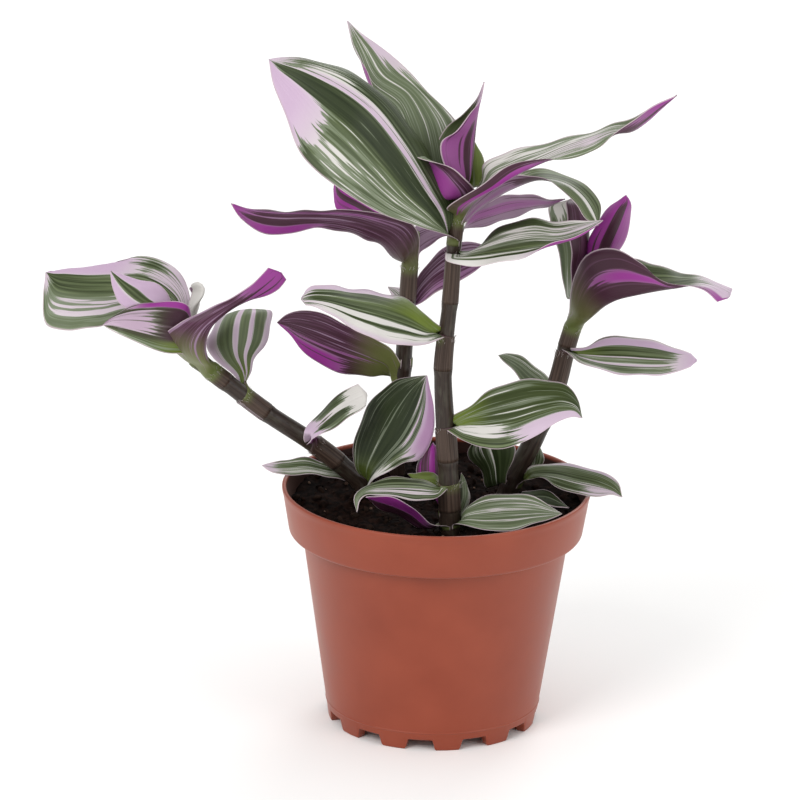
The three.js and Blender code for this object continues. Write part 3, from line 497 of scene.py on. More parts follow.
        ((329, 402, -4), (338, 409, -10), (348, 418, -14)),
        ((345, 390.5, -4), (352, 401, -9), (360, 411.5, -13)),
        ((362, 382, -6), (367, 394, -9), (368, 404, -11))],
    "leaf_left_3": [
        ((236, 377, 8), (244, 372, 6), (250, 374, 7)),
        ((215, 361, 8), (238, 354, 3), (254, 361, 6)),
        ((207, 343, 10), (238, 338, 1), (265, 344, 7)),
        ((213, 327, 14), (240, 320, 2), (271, 326, 11)),
        ((225, 316, 20), (244, 310.5, 8), (271, 312, 17)),
        ((250, 314.5, 26),)],
    "leaf_left_4": [
        ((200, 350, 8), (207, 362, -12), (180, 357, -6)),
        ((190, 334, 6), (204, 345, -18), (163, 338, -14)),
        ((200, 318, 0), (210, 328, -20), (178, 324, -20)),
        ((217, 311, -8), (223, 315, -20), (206, 309.5, -21)),
        ((236, 305, -13), (240, 303, -18), (230, 298.5, -19)),
        ((260, 298, -14), (257, 292, -16), (251.5, 284, -17)),
        ((279, 289, -14), (272, 280, -15), (265.5, 270.5, -15)),
        ((290, 274.5, -13), (280, 272, -14), (269, 266, -14))],
    "leaf_left_5": [
        ((182, 354, -14), (184, 330, -13), (189, 306, -8)),
        ((162.5, 352.5, -20), (163, 325, -16), (170, 301.5, -8)),
        ((140.5, 344, -22), (142, 322, -17), (148, 302.5, -9)),
        ((121.5, 335.5, -21), (123, 321, -18), (128, 308, -12)),
        ((112, 331, -19), (112, 321.5, -18), (113, 316, -16)),
        ((103, 325, -19),)],
    "leaf_left_6": [
        ((145, 312, -10), (158, 307, -7), (172, 303, -3)),
        ((131, 310, -11), (145, 299, -8), (168, 294, -3)),
        ((119, 303, -11), (134, 290, -9), (157, 284, -4)),
        ((113, 289, -10), (122, 281, -9), (138, 279, -6)),
        ((110.5, 271, -8),)],
    "leaf_left_7": [
        ((168, 312, -4), (178, 305, 2), (190, 302, 6)),
        ((150, 315, -4), (165, 291, 6), (186, 283, 12)),
        ((122, 319, -6), (142, 281, 8), (170, 264, 15)),
        ((96, 327, -8), (113, 279, 9), (140, 256, 16)),
        ((68, 330, -6), (86, 279, 9), (107, 265.5, 14)),
        ((46.5, 325, -2), (64, 277, 9), (76, 271, 12)),
        ((43, 298, 3), (53, 275, 9), (57, 272, 10)),
        ((46, 272.5, 9),)],
    "leaf_left_8": [
        ((187, 318, 3), (192, 316, 0), (196, 315, 2)),
        ((189, 306, 4), (196, 304, -2), (199, 304, 3)),
        ((191, 296, 5), (202, 296, -2), (202, 293, 4)),
        ((191, 291, 5), (203.5, 288, -1), (199, 284, 5)),
        ((189, 288, 4), (196, 282, 1), (192, 284, 5)),
        ((192, 293, 6),)],
}

# Stripes and patches run along the blade, from across = -1 at its left margin to 1 at its right, seen on
# the upper side with the tip up. Each is (kind, from, to, start, end, strength), with the start and the
# end as parts of the blade's length beyond its sheath. A later one overrides an earlier one.
#   pale: more of the cells lack green, so it has cream stripes. pink: the same, with pink stripes.
#   tissue: none of them lack it, so it is green above and maroon below. dark, light: a deeper or a
#   lighter green; some leaves that lie in shadow get dark as painted shade. lime: fresh yellow green.
#   flush: magenta on both sides. maroon: maroon on both sides.
PATTERNS = {
    "young_foot": [("flush", -1.2, 1.2, -1, 1.2, 1), ("maroon", -1.2, 1.2, -1, 1.2, 0.6)],
    "young_front_1": [("lime", -1.2, 1.2, -1, 1.2, 0.6), ("tissue", -1.2, 1.2, -1, 1.2, 0.6)],
    "young_front_11": [("lime", -1.2, 1.2, -1, 1.2, 0.7), ("tissue", -1.2, 1.2, -1, 1.2, 0.6)],
    "leaf_front_5": [
        ("pink", -1.2, -0.4, 0.7, 1.2, 1), ("pink", -1.2, 1.2, 0.95, 1.2, 1),
        ("dark", -0.42, -0.05, 0.0, 0.95, 1), ("tissue", -0.4, -0.06, 0.05, 0.9, 1),
        # Right of the midrib the dark patch is painted shade.
        ("dark", 0.14, 1.1, 0.0, 0.85, 0.7), ("tissue", 0.16, 1.1, 0.0, 0.6, 0.6),
        ("pale", 0.1, 0.45, 0.7, 0.84, 0.9), ("pink", 0.1, 1.2, 0.9, 1.2, 0.9),
        ("pink", -0.04, 0.1, -0.2, 0.9, 1), ("light", -1.1, -0.45, 0.0, 0.7, 0.5),
        ("pale", -1.1, -0.45, 0.0, 0.7, 0.36)],
    "leaf_front_9": [
        ("pink", -1.2, 1.2, 0.92, 1.2, 0.8), ("pink", 0.6, 1.2, 0.66, 0.95, 0.7),
        ("pale", -1.0, 1.0, 0.2, 0.9, 0.36), ("light", -1.2, 1.2, 0.1, 1.2, 0.9),
        ("pink", -0.8, -0.3, -0.2, 0.36, 0.9), ("pink", -1.2, -0.6, 0.62, 0.9, 0.7)],
    "leaf_front_10": [
        ("pink", -1.2, 1.2, -1, 1.2, 0.7), ("flush", -1.2, 1.2, 0.7, 1.2, 0.3),
        ("tissue", 0.05, 0.2, -1, 0.66, 1), ("tissue", 0.4, 0.55, -1, 0.62, 1),
        ("tissue", -1.2, -0.45, -1, 0.78, 1)],
    "leaf_front_8": [
        ("light", -1.2, 1.2, 0, 1, 0.8), ("pale", -1.2, 0.9, 0.05, 0.8, 0.52),
        ("pink", -0.5, 0.4, 0.5, 0.76, 0.6), ("tissue", 0.5, 1.1, 0.55, 0.8, 0.8),
        ("pink", 0.35, 0.75, -1, 0.46, 1), ("tissue", 0.5, 0.58, -1, 0.3, 1),
        ("tissue", 0.7, 1.2, -1, 0.4, 1), ("tissue", -1.2, 1.2, -1, 0.1, 0.8),
        ("pink", -0.8, 1.2, 0.83, 1.2, 1), ("tissue", 0.35, 0.6, 0.8, 1.2, 0.9),
        ("lime", -1.2, 1.2, -1, 0.1, 1)],
    "leaf_front_7": [
        ("pale", -1.2, 1.2, -1, 0.45, 0.85), ("pink", 0.3, 0.6, 0, 0.4, 0.5),
        ("tissue", 0.45, 0.85, 0.45, 1.1, 0.8), ("pale", 0.0, 0.3, 0.45, 1.1, 0.6),
        ("tissue", -1.1, -0.3, 0.45, 1.1, 0.7), ("lime", -1.2, 1.2, -1, 0.08, 1)],
    "leaf_front_6": [("pale", -1.2, 1.2, -1, 1.2, 0.7), ("pink", -0.3, 0.5, 0.1, 1.2, 0.55)],
    "leaf_front_4": [
        ("pale", -1.2, 0.3, 0, 1.2, 0.52), ("pale", 0.3, 1.3, -0.2, 0.7, 0.7),
        ("tissue", -1.1, -0.72, 0.1, 0.62, 0.9), ("dark", -1.1, -0.72, 0.1, 0.62, 0.8),
        ("tissue", 0.05, 0.3, 0.3, 0.85, 0.8), ("tissue", 0.5, 0.58, 0.0, 0.6, 1),
        ("pink", -0.8, 0.5, 0.72, 1.2, 0.5), ("pink", 0.62, 1.3, 0.58, 1.2, 1)],
    "leaf_front_3": [
        ("pink", 0.6, 1.2, 0.4, 1.2, 0.8), ("pink", -1.2, 1.2, 0.93, 1.2, 0.8),
        ("pale", -1.2, -0.35, 0.08, 0.97, 0.9), ("tissue", -0.66, -0.54, 0.1, 0.8, 0.9),
        ("tissue", -0.28, 0.5, 0.1, 0.85, 0.6), ("pink", -1.2, -0.9, 0.1, 0.97, 0.7),
        ("lime", 0.05, 1.1, -1, 0.4, 0.9), ("lime", -0.25, 0.1, -1, 0.2, 0.8)],
    "leaf_front_2": [
        ("lime", -1.1, 0.05, -1, 0.3, 0.9), ("pale", 0.04, 0.56, 0.0, 0.5, 0.7),
        ("pink", 0.25, 1.1, 0.5, 1.1, 0.8), ("tissue", 0.7, 1.1, 0.0, 0.55, 0.9),
        ("pink", -1.1, -0.3, 0.94, 1.2, 0.5), ("dark", -1, 0.0, 0.1, 1, 0.8),
        ("lime", -1.0, 0.1, 0.1, 0.9, 0.12)],
    "leaf_front_1": [
        ("tissue", 0.0, 1.2, 0.1, 0.9, 0.5), ("pink", -1.0, -0.02, 0.15, 0.85, 0.44),
        ("lime", -1, 1, -1, 0.1, 0.6)],
    "leaf_foot_front_1": [
        ("pale", -0.8, 0.75, 0.3, 1.1, 0.36), ("pink", -0.7, 0.6, 0.3, 1.2, 0.3),
        ("light", -1.2, 1.2, 0, 1.2, 0.6)],
    "leaf_foot_front_2": [("pink", -1.2, -0.1, 0.2, 1.2, 1)],
    "leaf_foot_front_3": [("light", -1.2, 1.2, 0, 1.2, 0.6)],
    "leaf_right_6": [
        ("lime", -1.2, 1.2, -1, 0.22, 0.9), ("pink", 0.5, 0.74, 0.34, 0.74, 1),
        ("tissue", -1.2, 0.4, 0.1, 0.85, 1), ("pink", -1.2, 1.2, 0.8, 1.2, 0.8),
        ("flush", 0.45, 1.2, 0.86, 1.2, 1)],
    "leaf_right_8": [
        ("pink", -1.2, 1.2, -1, 1.2, 1), ("tissue", -0.4, 0.2, -1, 0.94, 0.95),
        ("tissue", 0.45, 0.6, -1, 0.6, 0.9)],
    "leaf_right_7": [
        ("pale", -1.2, -0.5, 0.75, 1.2, 0.7), ("light", -1.2, 0, 0, 1.2, 0.6),
        ("pink", 0.3, 0.42, 0.3, 1, 0.5)],
    "leaf_right_5": [
        ("pink", -0.95, -0.6, 0.05, 1, 1), ("tissue", -0.55, -0.2, 0.05, 0.85, 0.9),
        ("pink", -0.14, -0.06, 0.1, 0.9, 0.9), ("tissue", 0.0, 0.2, 0.1, 0.85, 0.9),
        ("pink", 0.28, 0.42, 0.1, 0.9, 0.8), ("pink", -1.2, 1.2, 0.87, 1.2, 1),
        ("pink", 0.9, 1.2, 0.25, 1, 0.9), ("lime", -0.7, 0, -1, 0.3, 0.7),
        ("light", 0, 1.1, 0, 0.9, 0.4)],
    "leaf_right_4": [("light", -1.2, 1.2, 0, 1.2, 0.5)],
    "leaf_right_3": [("dark", -1.2, 1.2, 0, 1.2, 0.2)],
    "leaf_right_2": [
        # The dark over the whole blade is painted shade: this leaf lies in shadow.
        ("dark", -1.2, 1.2, 0, 1.2, 0.8), ("tissue", -1.2, 1.2, 0, 1.2, 0.5),
        ("pink", -0.8, -0.3, 0.6, 1, 0.4)],
    "leaf_right_1": [
        ("lime", -1.2, 1.2, -1, 0.25, 0.8), ("pink", -1.1, -0.75, 0.45, 0.95, 0.7),
        ("pink", 0.25, 1.0, 0.62, 1.1, 0.6), ("tissue", -0.6, 0.1, 0.1, 0.7, 0.5)],
    "leaf_right_0": [("dark", -1.2, 1.2, 0, 1.2, 0.9), ("tissue", -1.2, 1.2, 0, 1.2, 0.8)],
    "leaf_middle_1": [
        ("pink", 0.5, 1.2, 0.5, 1.2, 1), ("pink", 0.26, 0.36, 0.3, 0.95, 0.8),
        ("tissue", 0.66, 0.74, 0.5, 0.9, 0.9), ("pink", 0.2, 1.2, 0.92, 1.2, 1),
        ("lime", -1.2, 1.2, -1, 0.38, 1)],
    "leaf_middle_2": [("pale", -1.2, 1.2, -1, 1.2, 0.52), ("pink", -1.2, -0.2, 0.0, 1.2, 0.3)],
    "leaf_middle_3": [("pale", -1.2, 1.2, -1, 1.2, 0.6), ("pink", -1, 1, 0.3, 1.2, 0.6)],
    "leaf_middle_4": [
        ("pale", -1.2, 1.2, 0.1, 0.9, 0.38), ("pink", -1.2, 1.2, 0.88, 1.2, 1),
        ("pink", 0.45, 1.2, 0.56, 0.95, 1), ("pink", -0.7, -0.55, 0.3, 0.9, 0.7),
        ("pale", -0.2, 0.1, 0.3, 0.9, 0.5), ("tissue", 0.0, 0.4, 0.7, 0.95, 0.9),
        ("lime", -1.2, 1.2, -1, 0.08, 0.8)],
    "leaf_middle_5": [("pale", -1.2, 1.2, -1, 1.2, 0.66)],
    "leaf_middle_6": [
        ("pink", -1.2, 1.2, -1, 1.2, 1), ("tissue", -0.2, 0.1, 0, 1, 1),
        ("tissue", 0.35, 0.45, 0, 1, 0.9)],
    "leaf_foot_left": [
        ("pink", 0.45, 1.2, 0.48, 1.2, 1), ("pink", 0.1, 0.5, 0.6, 1.2, 0.5),
        ("pink", -0.3, 1.2, 0.94, 1.2, 0.9), ("tissue", -1, 0.3, 0.05, 0.9, 0.5),
        ("tissue", 0.56, 0.64, 0.3, 0.84, 0.9), ("tissue", 0.38, 0.46, 0.4, 0.94, 0.9),
        ("flush", 0.7, 1.2, 0.5, 1.0, 0.4), ("pale", 0.55, 1.2, 0.0, 0.36, 0.9),
        ("lime", -1, 0.3, -1, 0.26, 0.8), ("dark", -1, 0.6, 0.05, 0.95, 1)],
    "leaf_left_1": [
        ("pale", -1.2, 1.2, 0, 1.2, 0.34), ("light", -1.2, 1.2, 0, 1.2, 0.2),
        ("pink", -1.2, 1.2, 0.8, 1.2, 0.7)],
    "leaf_left_2": [
        ("pink", -1.2, 1.2, 0.1, 0.62, 0.9), ("pale", -1.2, 1.2, 0.6, 1.2, 1),
        ("tissue", 0.2, 1.1, 0.54, 0.82, 1), ("tissue", -1.1, -0.2, 0.6, 0.86, 1),
        ("tissue", 0.5, 1.2, 0.92, 1.02, 0.9), ("dark", -1.2, 1.2, 0.5, 1, 0.5)],
    "leaf_left_3": [
        ("pink", -1.2, -0.72, 0, 1.2, 0.9), ("tissue", -0.66, -0.2, 0, 1.2, 0.9),
        ("pink", -0.16, 0.02, 0, 1.2, 0.9), ("tissue", 0.08, 0.26, 0, 1.2, 0.8),
        ("pink", 0.32, 0.5, 0, 1.2, 0.9), ("tissue", 0.56, 0.78, 0, 1.2, 0.8),
        ("pink", 0.82, 1.2, 0, 1.2, 0.8), ("light", -1.2, 1.2, 0, 1.2, 0.7),
        ("lime", -0.8, 0.8, -1, 0.26, 0.8)],
    "leaf_left_4": [
        ("pale", -1.2, 1.2, 0.1, 0.75, 0.46), ("pink", -1.2, 1.2, 0.74, 1.2, 0.9),
        ("tissue", 0.0, 0.2, 0.6, 0.94, 0.9), ("tissue", -0.6, -0.45, 0.6, 1, 0.9),
        ("lime", -1.2, 1.2, -1, 0.3, 1)],
    "leaf_left_5": [
        ("flush", 0.68, 1.3, -0.1, 0.8, 1), ("pink", -0.5, 0.6, 0.5, 1.2, 0.6),
        ("flush", -0.7, 0.7, 0.4, 1.0, 0.34), ("light", -1.2, -0.5, 0.3, 1, 0.7),
        # The maroon and dark patch is the shadowed hollow: the maroon underside, darkened with painted
        # shade.
        ("maroon", -0.6, 0.7, -0.6, 0.54, 1), ("dark", -0.6, 0.7, -0.6, 0.54, 1),
        ("flush", 0.1, 1.2, 0.9, 1.2, 0.7), ("lime", -1.3, -0.6, -1, 0.5, 1)],
    "leaf_left_6": [
        ("pink", -1.2, -0.42, -1, 1.2, 1), ("tissue", -0.3, 0.0, -1, 0.85, 1),
        ("lime", -0.3, 0.05, -1, 0.5, 0.6), ("pink", 0.12, 1.2, -1, 1.2, 1)],
    "leaf_left_7": [
        ("pink", 0.12, 0.85, 0.46, 1.2, 1), ("pink", 0.1, 1.2, -0.1, 0.45, 0.62),
        ("tissue", -0.42, 0.06, 0.1, 0.96, 0.9), ("pink", -0.84, -0.44, 0.1, 0.9, 0.5),
        ("pink", -1.2, -0.2, 0.92, 1.2, 0.9), ("tissue", -1.2, -0.84, 0.3, 0.86, 0.5),
        ("light", -1.2, -0.4, 0, 1, 0.8)],
    "leaf_left_8": [("pale", -1.2, 1.2, 0, 1.2, 1), ("light", -1.2, 1.2, 0, 1.2, 0.8)],
}

RAISED_BY = {"pink": ("pink", "pale"), "flush": ("flush", "pink", "pale"), "maroon": ("flush",),
             "tissue": (), "light": ()}
USUAL_PALE = 0.3  # where no pattern says otherwise
FADE_ACROSS = 0.16  # in half widths
FADE_ALONG = 0.32  # in lengths

# Settings that many of the materials' nodes share.
COLOURS = {"data_type": "RGBA"}
SOFT_STEP = {"interpolation_type": "SMOOTHSTEP"}
TIMES = {"operation": "MULTIPLY"}
TIMES_PLUS = {"operation": "MULTIPLY_ADD"}

# ------------------------------------------------------------------ curves


def smooth(x):
    """A soft step from 0 to 1."""
    x = np.clip(x, 0, 1)
    return x * x * (3 - 2 * x)


def mix(a, b, share):
    return a + (b - a) * share


def unit(v):
    return v / np.linalg.norm(v, axis=-1, keepdims=True)


def square(v, axis):
    """The part of v at right angles to the axis, at unit length."""
    return unit(v - axis * np.dot(v, axis))


class Route:
    """A centripetal curve through some points, measured by the distance along it."""

    PIECES = 80

    def __init__(self, points):
        points = [np.array(p, float) for p in points]
        ends = [2 * points[0] - points[1]] + points + [2 * points[-1] - points[-2]]
        t = (np.arange(self.PIECES) / self.PIECES)[:, None]
        drawn = []
        for p0, p1, p2, p3 in zip(ends, ends[1:], ends[2:], ends[3:]):
            d0, d1, d2 = (np.linalg.norm(b - a) ** 0.5 for a, b in ((p0, p1), (p1, p2), (p2, p3)))
            leave = ((p1 - p0) / d0 - (p2 - p0) / (d0 + d1) + (p2 - p1) / d1) * d1
            reach = ((p2 - p1) / d1 - (p3 - p1) / (d1 + d2) + (p3 - p2) / d2) * d1
            drawn.append(p1 + leave * t + (3 * (p2 - p1) - 2 * leave - reach) * t ** 2
                         + (2 * (p1 - p2) + leave + reach) * t ** 3)
        self.points = np.vstack(drawn + [points[-1][None]])
        steps = np.linalg.norm(np.diff(self.points, axis=0), axis=1)
        self.run = np.concatenate([[0], np.cumsum(steps)])
        self.length = self.run[-1]

    def at(self, run):
        return np.array([np.interp(run, self.run, self.points[:, k]) for k in range(3)])

    def along(self, run):
        reach = 0.3
        run = np.clip(run, reach, self.length - reach)
        return unit(self.at(run + reach) - self.at(run - reach))

    def at_height(self, z):
        return np.interp(z, self.points[:, 2], self.run)


def stem_route(name):
    axis = STEMS[name][1]
    x, y, _ = axis[0]
    return Route([(x, y, SOIL_LEVEL - STEM_DEPTH)] + axis)


ROUTES = {name: stem_route(name) for name in STEMS}


def stem_radius(name, z):
    (foot, top), axis = STEMS[name]
    return mix(foot, top, smooth((z - SOIL_LEVEL) / (axis[-1][2] - SOIL_LEVEL)))


# ------------------------------------------------------------------ the leaves' shapes


def sheath_row(leaf, run):
    """The arc that the sheath makes round its stem, at a distance along the stem."""
    axis = ROUTES[leaf["stem"]]
    centre, along = axis.at(run), axis.along(run)
    inward = -square(np.array(leaf["side"], float), along)
    radius = stem_radius(leaf["stem"], centre[2]) + SHEATH_GAP + LEAF_THICKNESS * SHEATH_SHARE / 2
    return dict(middle=centre - inward * radius, along=along, upper=inward,
                half=radius * leaf["clasp"] / 2, curve=1 / radius)


def arc_points(row, across):
    bend = row["half"] * row["curve"] * across[:, None]
    sideways = np.cross(row["along"], row["upper"])
    return row["middle"] + (sideways * np.sin(bend) + row["upper"] * (1 - np.cos(bend))) / row["curve"]


def section(left, middle, right, across):
    """A line across the blade, curved through its left margin, midrib and right margin."""
    across = across[:, None]
    return middle + across * (right - left) / 2 + across ** 2 * ((right + left) / 2 - middle)


def blade_rails(leaf, stations):
    """Curves along the left margin, the midrib and the right margin, on from the sheath's stations."""
    for row in BLADES[leaf["name"]]:
        if len(row) == 1:
            aside = unit(stations[-1][2] - stations[-1][0]) * TIP_WIDTH / 2
            tip = seen_at(*row[0])
            stations.append(np.array([tip - aside, tip, tip + aside]))
        else:
            stations.append(np.array([seen_at(*place) for place in row]))
    corner = np.linalg.norm(stations[-1][2] - stations[-1][0]) * BLUNT_CORNER
    return [Route([station[k] for station in stations]) for k in range(3)], corner


def traced_rows(leaf):
    """The sheath on its stem, and the blade through its rows in BLADES."""
    across = np.linspace(-1, 1, COLUMNS + 1)
    margins = [0, COLUMNS // 2, COLUMNS]
    length = leaf["sheath"]
    node = ROUTES[leaf["stem"]].at_height(leaf["node"])
    count = max(2, math.ceil(length / ROW_STEP))
    rows = []
    for i in range(count + 1):
        row = sheath_row(leaf, node + length * i / count)
        rows.append(dict(points=arc_points(row, across), half=row["half"], u=0.0, sheath=1.0,
                         run=length * (i / count - 1)))
    mouth = rows[-1]["points"]
    below = sheath_row(leaf, node + length - length / math.ceil(length / SHEATH_STEP))
    rails, corner = blade_rails(leaf, [arc_points(below, across)[margins], mouth[margins]])
    run = np.mean([rail.run for rail in rails], axis=0)
    run = run - run[Route.PIECES]
    length = run[-1]
    steps = math.ceil(length / ROW_STEP)
    folded = mouth - section(*mouth[margins], across)
    for i in range(1, steps + 1):
        distance = length * i / steps
        left, middle, right = (np.array([np.interp(distance, run, rail.points[:, k]) for k in range(3)])
                               for rail in rails)
        closed = 1 - smooth(distance / leaf["opening"])
        points = section(left, middle, right, across) + folded * closed
        # The corners of a blunt tip are round.
        past = np.clip((distance - length + corner) / corner, 0, 0.99)
        points = middle + (points - middle) * math.sqrt(1 - past * past)
        half = (np.linalg.norm(right - middle) + np.linalg.norm(left - middle)) / 2
        rows.append(dict(points=points, half=half, u=i / steps, sheath=closed, run=distance))
    return rows


def patch(value, start, end, fade):
    """1 between start and end and 0 beyond them, fading at both."""
    return smooth((value - start) / fade + 0.5) * smooth((end - value) / fade + 0.5)


def leaf_tones(leaf, across, u, sheath, run):
    """How pink, pale, dark, flushed and fresh green each point of the leaf is, after PATTERNS."""
    size = np.broadcast(across, u).shape
    tones = {kind: np.zeros(size) for kind in ("pink", "dark", "flush")}
    tones["pale"] = np.full(size, USUAL_PALE)
    tones["lime"] = np.broadcast_to(sheath * (leaf["sheath"] < SHORT_SHEATH) * SHORT_SHEATH_GREEN, size)
    for kind, left, right, start, end, strength in PATTERNS[leaf["name"]]:
        weight = strength * patch(across, left, right, FADE_ACROSS) * patch(u, start, end, FADE_ALONG)
        if kind in ("tissue", "maroon"):
            tones["pale"] = mix(tones["pale"], 0, weight)
        if kind == "light":
            tones["dark"] = tones["dark"] - weight
        for raised in RAISED_BY.get(kind, (kind,)):
            tones[raised] = np.maximum(tones[raised], weight)
    # Below its mouth the sheath soon turns from green to brown.
    tones["lime"] = tones["lime"] * smooth(1 + run / GREEN_REACH)
    return tones


def surface_normals(points):
    return unit(np.cross(np.gradient(points, axis=1), np.gradient(points, axis=0)))


def leaf_sheet(leaf, seed):
    """The leaf's middle surface as a grid of points, with their outward sides and what colours them."""
    rows = traced_rows(leaf)
    draw = random.Random(seed)
    across = np.linspace(-1, 1, COLUMNS + 1)[None, :]
    points = np.array([row["points"] for row in rows])
    half, u, sheath, run = (np.array([row[key] for row in rows])[:, None]
                            for key in ("half", "u", "sheath", "run"))
    blade = 1 - sheath
    # The midrib is a shallow groove, and the margins wave a little.
    groove = -MIDRIB_DEPTH * np.exp(-(across * half / MIDRIB_SPREAD) ** 2) * blade * (1 - u)
    wave_length = draw.uniform(*WAVE_LENGTH)
    phases = np.where(across < 0, draw.uniform(0, 6), draw.uniform(0, 6))
    wave = MARGIN_WAVE * np.sin(2 * math.pi * run / wave_length + phases) * abs(across) ** 3
    wave = wave * blade * patch(u, 0.15, 0.9, 0.3)
    points = points + surface_normals(points) * (groove + wave)[..., None]
    size = points.shape[:2]
    vein = [np.broadcast_to(value, size) for value in (across * leaf["width"] / 2, run, seed * 7.3)]
    return dict(points=points, normals=surface_normals(points), sheath=np.broadcast_to(sheath, size),
                vein=np.stack(vein, -1), edge=half * (1 - abs(across)),
                **leaf_tones(leaf, across, u, sheath, run))


def sheet_mesh(sheet):
    """A closed skin round the sheet, thinner towards its margins."""
    points, normals = sheet["points"], sheet["normals"]
    rows, columns = points.shape[:2]
    across = np.linspace(-1, 1, columns)[None, :]
    thick = LEAF_THICKNESS * mix(MARGIN_SHARE, 1, 1 - across ** 4)
    thick = (thick * mix(1, SHEATH_SHARE, sheet["sheath"]))[..., None]
    vertices = np.concatenate([(points + normals * thick / 2).reshape(-1, 3),
                               (points - normals * thick / 2).reshape(-1, 3)])
    count = rows * columns
    at = np.arange(count).reshape(rows, columns)
    upper = np.stack([at[:-1, :-1], at[:-1, 1:], at[1:, 1:], at[1:, :-1]], -1).reshape(-1, 4)
    loop = np.concatenate([at[0, :-1], at[:-1, -1], at[-1, :0:-1], at[:0:-1, 0]])
    ahead = np.roll(loop, -1)
    rim = np.stack([ahead, loop, loop + count, ahead + count], -1)
    faces = np.concatenate([upper, upper[:, ::-1] + count, rim])
    return vertices, faces


# ------------------------------------------------------------------ making objects


def add_piece(name, vertices, faces, material, slot, replaces=(), attributes=None):
    """A smooth mesh in the row frame, from millimetres about the pot's axis."""
    mesh = bpy.data.meshes.new(name)
    vertices = (np.asarray(vertices, float) + POT_AXIS) * MM
    mesh.from_pydata(vertices.tolist(), [], [list(map(int, face)) for face in faces])
    mesh.shade_smooth()
    for key, values in (attributes or {}).items():
        values = np.asarray(values, np.float32)
        kind, field = {3: ("FLOAT_VECTOR", "vector"), 4: ("FLOAT_COLOR", "color")}[values.shape[-1]]
        mesh.attributes.new(key, kind, "POINT").data.foreach_set(field, values.ravel())
    mesh.materials.append(material)
    piece = add_object(name, mesh)
    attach(piece, "root")
    if replaces:
        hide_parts(*replaces)


def ring_points(radius, z, turns, start=0):
    """Points of a level ring about the pot's axis, from start degrees round from the front."""
    angles = [math.radians(start + 360 * i / turns) for i in range(turns)]
    return [(radius * math.sin(angle), -radius * math.cos(angle), z) for angle in angles]


def grid_faces(rows, columns):
    """Four-sided faces of a grid whose rows close round, seen from outside."""
    at = np.arange(rows * columns).reshape(rows, columns)
    after = np.roll(at, -1, axis=1)
    return np.stack([at[:-1], after[:-1], after[1:], at[1:]], -1).reshape(-1, 4).tolist()


# ------------------------------------------------------------------ materials


def colour(text):
    """An sRGB hex colour in linear light."""
    parts = [int(text[k:k + 2], 16) / 255 for k in (1, 3, 5)]
    return tuple(p / 12.92 if p <= 0.04045 else ((p + 0.055) / 1.055) ** 2.4 for p in parts) + (1,)


def add_node(tree, kind, settings, inputs):
    """Adds a node, with its own settings, and each input as a number, a colour or what feeds it."""
    made = tree.nodes.new("ShaderNode" + kind)
    for key, value in settings.items():
        setattr(made, key, value)
    for key, value in inputs.items():
        if isinstance(value, bpy.types.NodeSocket):
            tree.links.new(value, made.inputs[key])
        else:
            made.inputs[key].default_value = value
    return made


def new_material(name):
    material = bpy.data.materials.new(name)
    material.use_nodes = True
    tree = material.node_tree
    tree.nodes.clear()
    return material, tree


